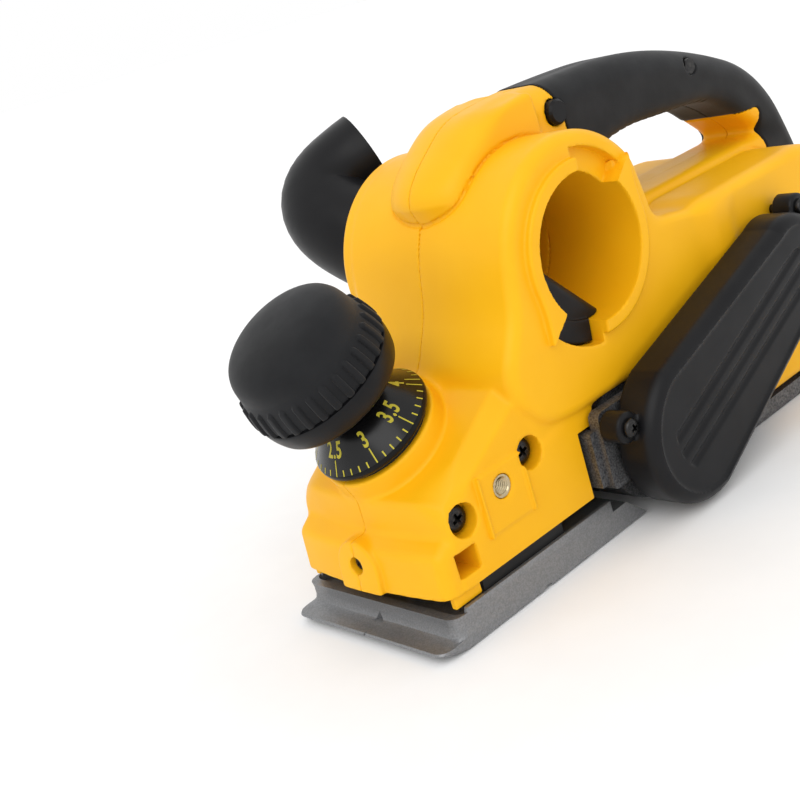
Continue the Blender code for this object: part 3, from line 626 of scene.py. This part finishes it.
def field_values(field, low, shape, pitch, coarse=4):
    """The field on a grid, worked out finely only near its surface."""
    values = np.full(shape, 1e3, np.float32)
    blocks = [range(0, size, coarse) for size in shape]
    corners = np.stack(np.meshgrid(*blocks, indexing="ij"), -1).reshape(-1, 3)
    middles = low + (corners + (coarse - 1) / 2) * pitch
    distance = sampled(field, middles)
    for corner, value in zip(corners[distance < 0], distance[distance < 0]):
        i, j, k = corner
        values[i:i + coarse, j:j + coarse, k:k + coarse] = value
    near = corners[np.abs(distance) < coarse * pitch * 1.25]
    steps = np.stack(np.meshgrid(*[range(coarse)] * 3, indexing="ij"), -1).reshape(-1, 3)
    index = (near[:, None] + steps[None]).reshape(-1, 3)
    index = index[(index < np.array(shape)).all(1)]
    values[tuple(index.T)] = sampled(field, low + index * pitch)
    return values


def surface_of(field, low, high, pitch):
    """Points and quads of the field's zero level: one point in each cell it crosses, pulled onto it."""
    low = np.array(low, float)
    shape = tuple(int(math.ceil(size / pitch)) + 1 for size in np.array(high) - low)
    values = field_values(field, low, shape, pitch)
    total = np.zeros(tuple(size - 1 for size in shape) + (3,), np.float32)
    count = np.zeros(total.shape[:3], np.float32)
    offsets = [(a, b, c) for a in (0, 1) for b in (0, 1) for c in (0, 1)]

    def corner(offset):
        return values[tuple(slice(o, o + size - 1) for o, size in zip(offset, shape))]

    for start in offsets:
        for axis in range(3):
            if start[axis]:
                continue
            end = tuple(o + (n == axis) for n, o in enumerate(start))
            a, b = corner(start), corner(end)
            crossed = (a < 0) != (b < 0)
            share = a[crossed] / (a[crossed] - b[crossed])
            for n in range(3):
                total[..., n][crossed] += start[n] + (share if n == axis else 0)
            count[crossed] += 1
    cells = np.argwhere(count > 0)
    number = np.full(count.shape, -1, np.int64)
    number[tuple(cells.T)] = np.arange(len(cells))
    points = low + (cells + total[tuple(cells.T)] / count[tuple(cells.T)][:, None]) * pitch
    quads = []
    for axis in range(3):
        ahead = [slice(None)] * 3
        behind = [slice(None)] * 3
        ahead[axis], behind[axis] = slice(1, None), slice(None, -1)
        first, second = values[tuple(behind)] < 0, values[tuple(ahead)] < 0
        edges = np.argwhere(first != second)
        u, v = (axis + 1) % 3, (axis + 2) % 3
        for side in (u, v):
            edges = edges[(edges[:, side] > 0) & (edges[:, side] < shape[side] - 1)]
        around = []
        for du, dv in ((1, 1), (0, 1), (0, 0), (1, 0)):
            cell = edges.copy()
            cell[:, u] -= du
            cell[:, v] -= dv
            around.append(number[tuple(cell.T)])
        quad = np.stack(around, 1)
        outward = first[tuple(edges.T)]
        quad[~outward] = quad[~outward][:, ::-1]
        quads.append(quad)
    return pulled_onto(field, points, pitch), np.concatenate(quads)


def pulled_onto(field, points, pitch, rounds=2, probe=0.04):
    """Points moved along the field's slope onto its zero level, each by less than a cell."""
    for _ in range(rounds):
        value = sampled(field, points)
        ahead = [sampled(field, points + step) for step in probe * np.eye(3)]
        slope = np.stack([there - value for there in ahead], 1) / probe
        steep = np.maximum((slope ** 2).sum(1), 0.2)
        move = -value[:, None] * slope / steep[:, None]
        length = np.maximum(np.linalg.norm(move, axis=1), 1e-9)
        points = points + move * np.minimum(1, 0.7 * pitch / length)[:, None]
    return points


def grid_pitch():
    return FINE_PITCH


def housing_piece(name, field, side, material, node):
    """Left (side 1) or right (-1) half of a field that measures y outwards from the seam."""

    def half(x, y, z):
        return field(x, y, z, side)

    points, quads = surface_of(half, *SHELL_BOX, grid_pitch())
    points[:, 1] *= side
    if side < 0:
        quads = quads[:, ::-1]
    piece = object_from(name, points, quads, material, 50)
    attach(piece, "planer_body")
    if node:
        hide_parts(node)
    return piece


# ---------------------------------------------------------------- pieces


def depth_knob():
    """Domed soft cap with raised round-ended ribs, over a smooth rim and a waisted neck."""
    spacing = 2 * math.pi / RIB_COUNT

    def ribs(angles, height):
        around = (np.mod(angles + spacing / 2, spacing) - spacing / 2) * 28.0
        past_top = max(height - RIB_TOP + RIB_HALF_WIDTH, 0.0)
        inside = RIB_HALF_WIDTH - np.hypot(around, past_top)
        return 1.2 * np.sqrt(np.clip(inside / 0.55, 0, 1)) * min(1.0, (height - RIB_FOOT) / 0.4)

    steps = 20
    profile = KNOB_UNDERSIDE + smooth_profile(KNOB_SIDE, 6)[:-1] + smooth_profile(KNOB_DOME, 4)
    points, quads = revolved(profile, RIB_COUNT * steps, ribs)
    cap = object_from("knob_cap", placed(points, KNOB_PLACE), quads, "soft_grip", 50)
    hub = turned_piece("knob_neck", smooth_profile(NECK, 4), 128, KNOB_PLACE, "black_plastic", 50)
    return (cap, "depth_knob", "soft_grip"), (hub, "depth_knob_hub", "black_plastic")


def on_dial(along, slope, lift):
    """A point on the dial's cone: an angle, a distance up the slope from the rim and a height above it."""
    unit = 1 / math.hypot(CONE_RUN, CONE_RISE)
    radius = DIAL_RIM_RADIUS - CONE_RUN * unit * slope + CONE_RISE * unit * lift
    height = CONE_RISE * unit * slope + CONE_RUN * unit * lift
    return radius * math.cos(along), radius * math.sin(along), height


def dial():
    """Black cone with its rim, a dark ring under the rim that paints the shadow in the gap above the boss, and
    its printed scale: a mark each tenth and a number each half millimetre.
    """
    cone = turned_piece("dial_cone", CONE, 160, KNOB_PLACE, "dial_plastic", 30)
    rim = turned_piece("dial_rim", DIAL_RIM, 160, KNOB_PLACE, "dial_rim", 50)
    # Matte black ring under the rim: it paints the shadow in the gap above the boss.
    shadow_ring = turned_piece("dial_shadow_ring", DIAL_SHADOW_RING, 128, KNOB_PLACE, "belt_rubber", 30)
    marks = bmesh.new()
    pitch = 2 * math.pi / DIAL_MARKS
    half = 0.26 / DIAL_RIM_RADIUS
    wide = half * 1.15
    for index in range(DIAL_MARKS):
        along = math.pi + (index - DIAL_REST_MARK) * pitch
        long_mark = index % 5 == 0
        reach = 6.1 if long_mark else 2.5
        ring = [(along - half, 0.3), (along + half, 0.3), (along + wide, reach), (along - wide, reach)]
        marks.faces.new([marks.verts.new(KNOB_PLACE @ Vector(on_dial(a, s, 0.05))) for a, s in ring])
        if long_mark and index:
            add_number(marks, f"{index / 10:g}", along)
    scale = from_bmesh("dial_scale", marks, "print_yellow")
    others = [(piece, None, "black_plastic") for piece in (rim, shadow_ring, scale)]
    return (cone, "depth_dial", "black_plastic"), *others


def add_number(marks, text, along):
    """Prints a number on the dial's cone, its foot towards the rim."""
    curve = bpy.data.curves.new("number", "FONT")
    curve.body = text
    curve.align_x = "CENTER"
    curve.size = 7.6
    curve.offset = 0.2
    curve.space_character = 1.12
    holder = bpy.data.objects.new("number", curve)
    bpy.context.scene.collection.objects.link(holder)
    bpy.context.view_layer.update()
    flat = bmesh.new()
    flat.from_mesh(holder.evaluated_get(bpy.context.evaluated_depsgraph_get()).to_mesh())
    bpy.data.objects.remove(holder)
    for step in range(-12, 13):
        cut = flat.verts[:] + flat.edges[:] + flat.faces[:]
        bmesh.ops.bisect_plane(flat, geom=cut, plane_co=(step * 0.6, 0, 0), plane_no=(1, 0, 0))
    copies = {}
    for vert in flat.verts:
        slope = 7.0 + vert.co.y * 1.1
        radius = math.hypot(*on_dial(0, slope, 0)[:2])
        turned = along + vert.co.x * 0.72 / radius
        copies[vert] = marks.verts.new(KNOB_PLACE @ Vector(on_dial(turned, slope, 0.06)))
    for face in flat.faces:
        marks.faces.new([copies[vert] for vert in face.verts])
    flat.free()


def closed_through(bm, rings):
    """Caps the first and last ring of corners and joins each to the next with a band of quads."""
    bm.faces.new(rings[0])
    bm.faces.new(rings[-1])
    for first, second in zip(rings, rings[1:]):
        for i in range(len(first)):
            j = (i + 1) % len(first)
            bm.faces.new((first[i], first[j], second[j], second[i]))
    return bm


def rounded_extrusion(outline, low, high, edge):
    """An (x, z) outline pushed along Y, with every edge bevelled unless edge is 0."""
    bm = bmesh.new()
    closed_through(bm, [[bm.verts.new((x, y, z)) for x, z in outline] for y in (low, high)])
    bmesh.ops.recalc_face_normals(bm, faces=bm.faces)
    bm.normal_update()
    if edge:
        bmesh.ops.bevel(
            bm, geom=bm.edges[:], offset=edge, segments=2, profile=0.5, affect="EDGES", clamp_overlap=True
        )
    return bm


def lofted(outline, slices, beyond):
    """An (x, z) outline laid at each slice's y, the points past x = beyond drawn back by the slice's inset."""
    bm = bmesh.new()
    return closed_through(
        bm, [[bm.verts.new((x - inset * (x > beyond), y, z)) for x, z in outline] for y, inset in slices]
    )


def slotted(obj, slot, body, node=None):
    """Says which body a piece rides on and which CAD part it stands for, if any, by hiding that part. Its slot
    is not used.
    """
    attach(obj, body)
    if node:
        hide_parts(node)
    return obj


def toe_mark():
    """Cutter of the V in the toe's wall. It runs to a point behind, so it meets the wall only up to z = 7.9."""
    bm = bmesh.new()
    mouth, point, low = 154.6, 150.4, TOE_MARK_FOOT_Z
    corners = (mouth, -TOE_MARK_HALF, low), (mouth, TOE_MARK_HALF, low), (mouth, 0, TOE_MARK_APEX_Z)
    front = [bm.verts.new(corner) for corner in corners]
    back = bm.verts.new((point, 0, low))
    bm.faces.new(front)
    for i in range(3):
        bm.faces.new((front[i], front[(i + 1) % 3], back))
    return bm


def chamfer_groove(y, spread):
    """Cutter of a V groove that runs the length of the sole."""
    bm = bmesh.new()
    outline = (-spread, -1), (spread, -1), (0, 0.4 + spread)
    return closed_through(bm, [[bm.verts.new((x, y + across, z)) for across, z in outline] for x in (40, 170)])


def front_shoe():
    """Cast front shoe: a flanged toe, a milled sole with three chamfer grooves and an upright rim each side."""
    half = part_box("front_shoe")[1].y / MM
    sole = [
        (48, 0.45), (154.5, 0.45), (157.2, 1.0), (161.3, 2.6), (161.8, 3.3), (161.2, 4.0), (155.2, 4.3),
        (153.2, 5.2), (152.4, 7.2), (152.3, 10.2), (152.7, 12.4), (149, 12.4), (148.4, 9.4), (58, 9.4),
    ]
    radius, steps = 5, 8
    slices = []
    for step in range(steps, -1, -1):
        inset = radius * (1 - math.sqrt(1 - (step / steps) ** 2))
        slices.append((-half + radius * (1 - step / steps), inset))
    slices += [(-y, inset) for y, inset in reversed(slices)]
    plate = from_bmesh("shoe_plate", lofted(sole, slices, 140), "shoe_metal", 30)
    grooves = ((-24, 2.6), (0, 3.8), (24, 2.6))
    tools = [from_bmesh("groove", chamfer_groove(y, spread), "shoe_metal") for y, spread in grooves]
    for low, high in ((40.2, half), (-half, -40.2)):
        rim = rounded_extrusion([(66, 8), (66, 14), (145.4, 14), (147.6, 8)], low, high, 0.3)
        tools.append(from_bmesh("rim", rim, "shoe_metal"))
    for middle in (-38.5, 38.5):
        outline = [(105.4, -1), (105.8, 1.25), (108.6, 1.25), (109, -1)]
        notch = rounded_extrusion(outline, middle - 4.5, middle + 4.5, 0)
        tools.append(from_bmesh("notch", notch, "shoe_metal"))
    tools.append(from_bmesh("mark", toe_mark(), "shoe_metal"))
    combined(plate, tools)
    sloped_tower()
    return (plate, "front_shoe", "cast_aluminium")


def combined(obj, tools):
    """Joins rims and cuts everything else, then drops the tools."""
    for tool in tools:
        modifier = obj.modifiers.new(tool.name, "BOOLEAN")
        modifier.operation = "UNION" if tool.name.startswith("rim") else "DIFFERENCE"
        modifier.object = tool
        modifier.solver = "EXACT"
    bpy.context.view_layer.update()
    mesh = bpy.data.meshes.new_from_object(obj.evaluated_get(bpy.context.evaluated_depsgraph_get()))
    obj.modifiers.clear()
    obj.data = mesh
    mesh.shade_smooth()
    mesh.set_sharp_from_angle(angle=math.radians(30))
    for tool in tools:
        bpy.data.objects.remove(tool)


def sloped_tower():
    """The spindle's threaded tower under the nose, which only shows from below."""
    corners = []
    for height, across in ((-85.4, -12), (-72.3, 12), (-42, 12), (-42, -12)):
        point = KNOB_PLACE @ Vector((across, 0, height))
        corners.append((point.x, point.z))
    tower = from_bmesh("shoe_tower", rounded_extrusion(corners, -14, 14, 0.6), "shoe_metal", 30)
    slotted(tower, "cast_aluminium", "front_shoe")


PULLEY_RUN = np.array(MOTOR) - np.array(DRUM)
PULLEY_SPAN = np.hypot(*PULLEY_RUN)


def across_pulley_line(x, z):
    """Signed distance from the line through both pulleys."""
    return ((x - DRUM[0]) * PULLEY_RUN[1] - (z - DRUM[1]) * PULLEY_RUN[0]) / PULLEY_SPAN


def around_pulleys(x, z):
    """Distance to the outline that wraps both pulleys."""
    along = ((x - DRUM[0]) * PULLEY_RUN[0] + (z - DRUM[1]) * PULLEY_RUN[1]) / PULLEY_SPAN
    across = np.abs(across_pulley_line(x, z))
    lean = (DRUM_PULLEY - MOTOR_PULLEY) / PULLEY_SPAN
    upright = math.sqrt(1 - lean ** 2)
    share = np.clip((along + across * lean / upright) / PULLEY_SPAN, 0, 1)
    radius = DRUM_PULLEY + (MOTOR_PULLEY - DRUM_PULLEY) * share
    return np.hypot(along - share * PULLEY_SPAN, across) - radius


def belt_cover_field(x, y, z):
    """Belt cover: a crowned face with a raised border and three shallow flutes, over an open back."""
    loop = around_pulleys(x, z)
    outside = slab(loop - 11.5, y, 66.2, 5.5)
    panel = smooth_max(loop - 6.5, 65.3 - y, 0.8)
    outside = smooth_max(outside, -panel, 0.8)
    for middle in (-7, 0, 7):
        flute = np.hypot(across_pulley_line(x, z) - middle, y - 66.6)
        outside = smooth_max(outside, -np.maximum(flute - 2.2, loop + 3), 0.5)
    inside = np.maximum(loop - 8.5, y - 62.6)
    body = smooth_max(outside, -inside, 0.5)
    for centre in COVER_SCREWS:
        lug = slab(disc(x, z, centre, 6.0), y, 58.3, 1.2)
        body = smooth_min(body, np.maximum(lug, -inside), 1.5)
        body = smooth_max(body, -disc(x, z, centre, 2.4), 0.3)
    return smooth_max(body, 49.1 - y, 0.6)


def belt_cover():
    points, quads = surface_of(belt_cover_field, (-86, 46, -6), (74, 68, 100), grid_pitch())
    return (object_from("cover_shell", points, quads, "black_plastic", 50), "belt_cover", "black_plastic")


def deflector_field(x, y, z):
    """Black insert of the chip tunnel: a rounded weir across its lower front and a lining behind the notch."""
    radius = disc(x, z, PORT, 0)
    beyond = 13.6 - 0.707 * (x - PORT[0]) + 0.707 * (z - PORT[1])
    weir = smooth_max(beyond, y - 37.5, 5)
    weir = smooth_max(weir, radius - 27.2, 0.5)
    sector = ARC_RISE * (np.abs(past_collar_foot(x, z, 360) - 180 - NOTCH_MIDDLE) - NOTCH_HALF_ARC + 1)
    lining = smooth_max(np.maximum(sector, np.abs(radius - 31) - 4.4), y - 39.2, 0.8)
    return np.maximum(smooth_min(weir, lining, 0.8), 29.5 - y)


def chip_deflector():
    points, quads = surface_of(deflector_field, (18, 27, 68), (84, 42, 116), grid_pitch() / 2)
    return (object_from("tunnel_weir", points, quads, "black_plastic", 50), "chip_deflector", "black_plastic")


def chip_chute():
    """Moulded elbow: a plug with a flange, a bend that rises outwards, and a lipped outlet to the rear."""
    x, z = PORT
    bend = ((0, -54, 0), (3, -66, 12), (24, -110.9, 27), (-20, -86, 41.8))
    route = [Vector((x + ahead, y, z + rise)) for ahead, y, rise in bend]
    centres = [Vector((x, y, z)) for y in (-36, -44, -51.9)]
    radii = [26.8, 26.8, 25.0]
    steps, sides, wall = 28, 72, 2.4
    for step in range(1, steps + 1):
        t = step / steps
        weights = ((1 - t) ** 3, 3 * t * (1 - t) ** 2, 3 * t * t * (1 - t), t ** 3)
        centres.append(sum((point * weight for point, weight in zip(route, weights)), Vector()))
        radii.append(23.0 - 4.5 * t + 0.5 * max(0.0, (t - 0.93) / 0.07))
    points, quads = [], []
    for radius_drop in (0.0, wall):
        for i, centre in enumerate(centres):
            ahead = (centres[min(i + 1, len(centres) - 1)] - centres[max(i - 1, 0)]).normalized()
            across = ahead.cross(Vector((1, 0, 0))).normalized()
            over = across.cross(ahead)
            for k in range(sides):
                turn = 2 * math.pi * k / sides
                outwards = across * math.cos(turn) + over * math.sin(turn)
                points.append(centre + (radii[i] - radius_drop) * outwards)
    count = len(centres)
    rows = list(range(count)) + list(range(2 * count - 1, count - 1, -1))
    for row, following in zip(rows, rows[1:] + rows[:1]):
        a, b = row * sides, following * sides
        quads += [(a + k, a + (k + 1) % sides, b + (k + 1) % sides, b + k) for k in range(sides)]
    elbow = object_from("elbow", points, np.array(quads), "black_plastic", 45)
    ring = [
        (25.2, -49.2), (30.6, -49.2), (31.0, -49.6), (31.0, -51.6), (30.4, -52.1), (26.4, -52.3), (25.2, -52.3),
    ]
    points, quads = revolved([(radius, -height) for radius, height in ring + ring[:1]], 120)
    points = points * np.array([1, 1, -1])
    flange = object_from("elbow_flange", placed(points, across_body(x, z)), quads, "black_plastic", 30)
    return (elbow, "chip_chute", "black_plastic"), (flange, None, "black_plastic")


def cross_screw(name, radius, top, matrix, node, shank=None):
    """Pan-head screw with a cross recess, its head's top at height top on the placement's Z.

    shank is the (radius, foot) of its stem, where that has to be drawn."""
    foot = top - 2.9
    dome = [
        (radius, foot), (radius, top - 1.4), (radius * 0.86, top - 0.5), (radius * 0.55, top - 0.08), (0, top),
    ]
    points, quads = revolved([(0, foot)] + smooth_profile(dome, 4), 56)
    head = object_from(name, points, quads, "black_steel", 40)
    recesses = []
    wide, narrow, half = radius * 0.62, radius * 0.2, radius * 0.14
    blade = [(-wide, top + 1), (wide, top + 1), (narrow, top - 2.0), (-narrow, top - 2.0)]
    for turn in (0.35, 0.35 + math.pi / 2):
        bm = rounded_extrusion(blade, -half, half, 0)
        bmesh.ops.rotate(bm, verts=bm.verts, matrix=Matrix.Rotation(turn, 3, "Z"))
        recesses.append(from_bmesh("recess", bm, "black_steel"))
    combined(head, recesses)
    head.data.transform(Matrix.Scale(MM, 4) @ matrix @ Matrix.Scale(1 / MM, 4))
    if shank:
        girth, end = shank
        profile = [(0, end), (girth, end), (girth, top - 2.8), (0, top - 2.8)]
        stem = turned_piece(name + "_shank", profile, 32, matrix, "black_steel", 30)
        slotted(stem, "black_steel", "planer_body")
    return (head, node, "black_steel")


def threaded_insert(side):
    """Turned insert with a chamfered mouth and a thread of real turns cut in its bore."""
    name = "left" if side > 0 else "right"
    pitch, turns, sides = 1.0, 8, 48
    sleeve = [(4.4, 32.7), (4.4, 41.0), (4.15, 41.35), (3.45, 41.35), (3.0, 40.9), (3.0, 32.7), (4.4, 32.7)]
    points, quads = revolved(sleeve, 64)
    points[:, 2] *= side
    sleeve = object_from(f"insert_{name}", placed(points, across_body(*INSERT)), quads, "brass", 30)
    ridge_points, ridge_quads = [], []
    rings = turns * sides
    for i in range(rings + 1):
        angle, height = 2 * math.pi * i / sides, 32.9 + pitch * i / sides
        for radius, rise in ((3.02, -0.42), (2.5, 0.0), (3.02, 0.42)):
            ridge_points.append((radius * math.cos(angle), radius * math.sin(angle), side * (height + rise)))
        if i:
            for first in ((i - 1) * 3, (i - 1) * 3 + 1):
                ridge_quads.append((first, first + 1, first + 4, first + 3))
    ridge_points = placed(ridge_points, across_body(*INSERT))
    thread = object_from(f"insert_thread_{name}", ridge_points, np.array(ridge_quads), "brass", 60)
    slotted(thread, "brass", "planer_body")
    return (sleeve, f"threaded_insert_{name}", "brass")


# ---------------------------------------------------------------- stage


def stage():
    """White floor and surround, and the sun."""
    floor = bmesh.new()
    bmesh.ops.create_grid(floor, x_segments=2, y_segments=2, size=FLOOR_REACH)
    ground = from_bmesh("floor", floor, "floor")
    ground.location = (0, 0, FLOOR_LEVEL_M)
    world = bpy.data.worlds.new("studio")
    world.use_nodes = True
    background = world.node_tree.nodes["Background"]
    background.inputs["Color"].default_value = (1.0, 1.0, 1.0, 1.0)
    background.inputs["Strength"].default_value = 1.0
    bpy.context.scene.world = world
    light = bpy.data.lights.new("key", "SUN")
    light.angle = KEY_ANGLE
    light.energy = KEY_STRENGTH
    lamp = bpy.data.objects.new("key", light)
    bpy.context.scene.collection.objects.link(lamp)
    lamp.rotation_euler = Vector(KEY_FROM).to_track_quat("Z", "Y").to_euler()


def camera():
    """A camera looking along the stated azimuth and elevation, rolled, with the pivot off its centre."""
    back = Vector((
        math.cos(VIEW_AZIMUTH) * math.cos(VIEW_ELEVATION), math.sin(VIEW_AZIMUTH) * math.cos(VIEW_ELEVATION),
        math.sin(VIEW_ELEVATION),
    ))
    level = Vector((-math.sin(VIEW_AZIMUTH), math.cos(VIEW_AZIMUTH), 0))
    upright = back.cross(level)
    right = math.cos(VIEW_ROLL) * level - math.sin(VIEW_ROLL) * upright
    up = math.sin(VIEW_ROLL) * level + math.cos(VIEW_ROLL) * upright
    place = Vector(VIEW_PIVOT) + VIEW_OFFSET[0] * right + VIEW_OFFSET[1] * up + VIEW_DISTANCE * back
    data = bpy.data.cameras.new("camera")
    data.lens = VIEW_LENS
    data.clip_start = 0.01
    data.clip_end = 50
    view = bpy.data.objects.new("camera", data)
    bpy.context.scene.collection.objects.link(view)
    turn = Matrix((right, up, back)).transposed().to_4x4()
    view.matrix_world = Matrix.Translation(place * MM) @ turn
    bpy.context.scene.camera = view


def side_screws():
    """Screws in the housing's two recesses and in the belt cover."""
    for number, (x, z) in enumerate(SCREW_RECESSES, 1):
        yield cross_screw(
            f"recess_screw_{number}", 5.0, 37.6, across_body(x, z), f"nose_screw_{number}", (1.9, 30)
        )
    for number, (x, z) in enumerate(COVER_SCREWS, 1):
        yield cross_screw(
            f"cover_screw_{number}", 3.6, 60.9, across_body(x, z), f"belt_cover_screw_{number}", (2, 44)
        )


def main():
    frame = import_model()
    slots = {entry["node"]: entry["material_slot"] for entry in frame["record"]["subparts"]}
    for name, node in frame["nodes"].items():
        node.data.materials.clear()
        node.data.materials.append(MATERIALS[slots[name]])
    housing_piece("shell_left", shell_field, 1, "yellow_housing", "housing_left")
    housing_piece("shell_right", shell_field, -1, "yellow_housing", "housing_right")
    for side, name in ((1, "grip_left"), (-1, "grip_right")):
        housing_piece(name, grip_field, side, "soft_grip", None)
    for obj, node, slot in (*depth_knob(), *dial()):
        slotted(obj, slot, "depth_adjuster", node)
    obj, node, slot = front_shoe()
    slotted(obj, slot, "front_shoe", node)
    for obj, node, slot in (chip_deflector(), belt_cover()):
        slotted(obj, slot, "planer_body", node)
    for obj, node, slot in chip_chute():
        slotted(obj, slot, "chip_chute", node)
    for obj, node, slot in side_screws():
        slotted(obj, slot, "planer_body", node)
    facing_front = Matrix.Translation((0, 0, FRONT_SCREW_Z)) @ Matrix.Rotation(math.radians(90), 4, "Y")
    obj, node, slot = cross_screw("toe_screw", 2.8, 154.2, facing_front, "front_screw", (1.5, 140))
    slotted(obj, slot, "planer_body", node)
    for side in (1, -1):
        obj, node, slot = threaded_insert(side)
        slotted(obj, slot, "planer_body", node)
    stage()
    camera()
    bpy.context.scene.view_settings.view_transform = "Standard"


main()
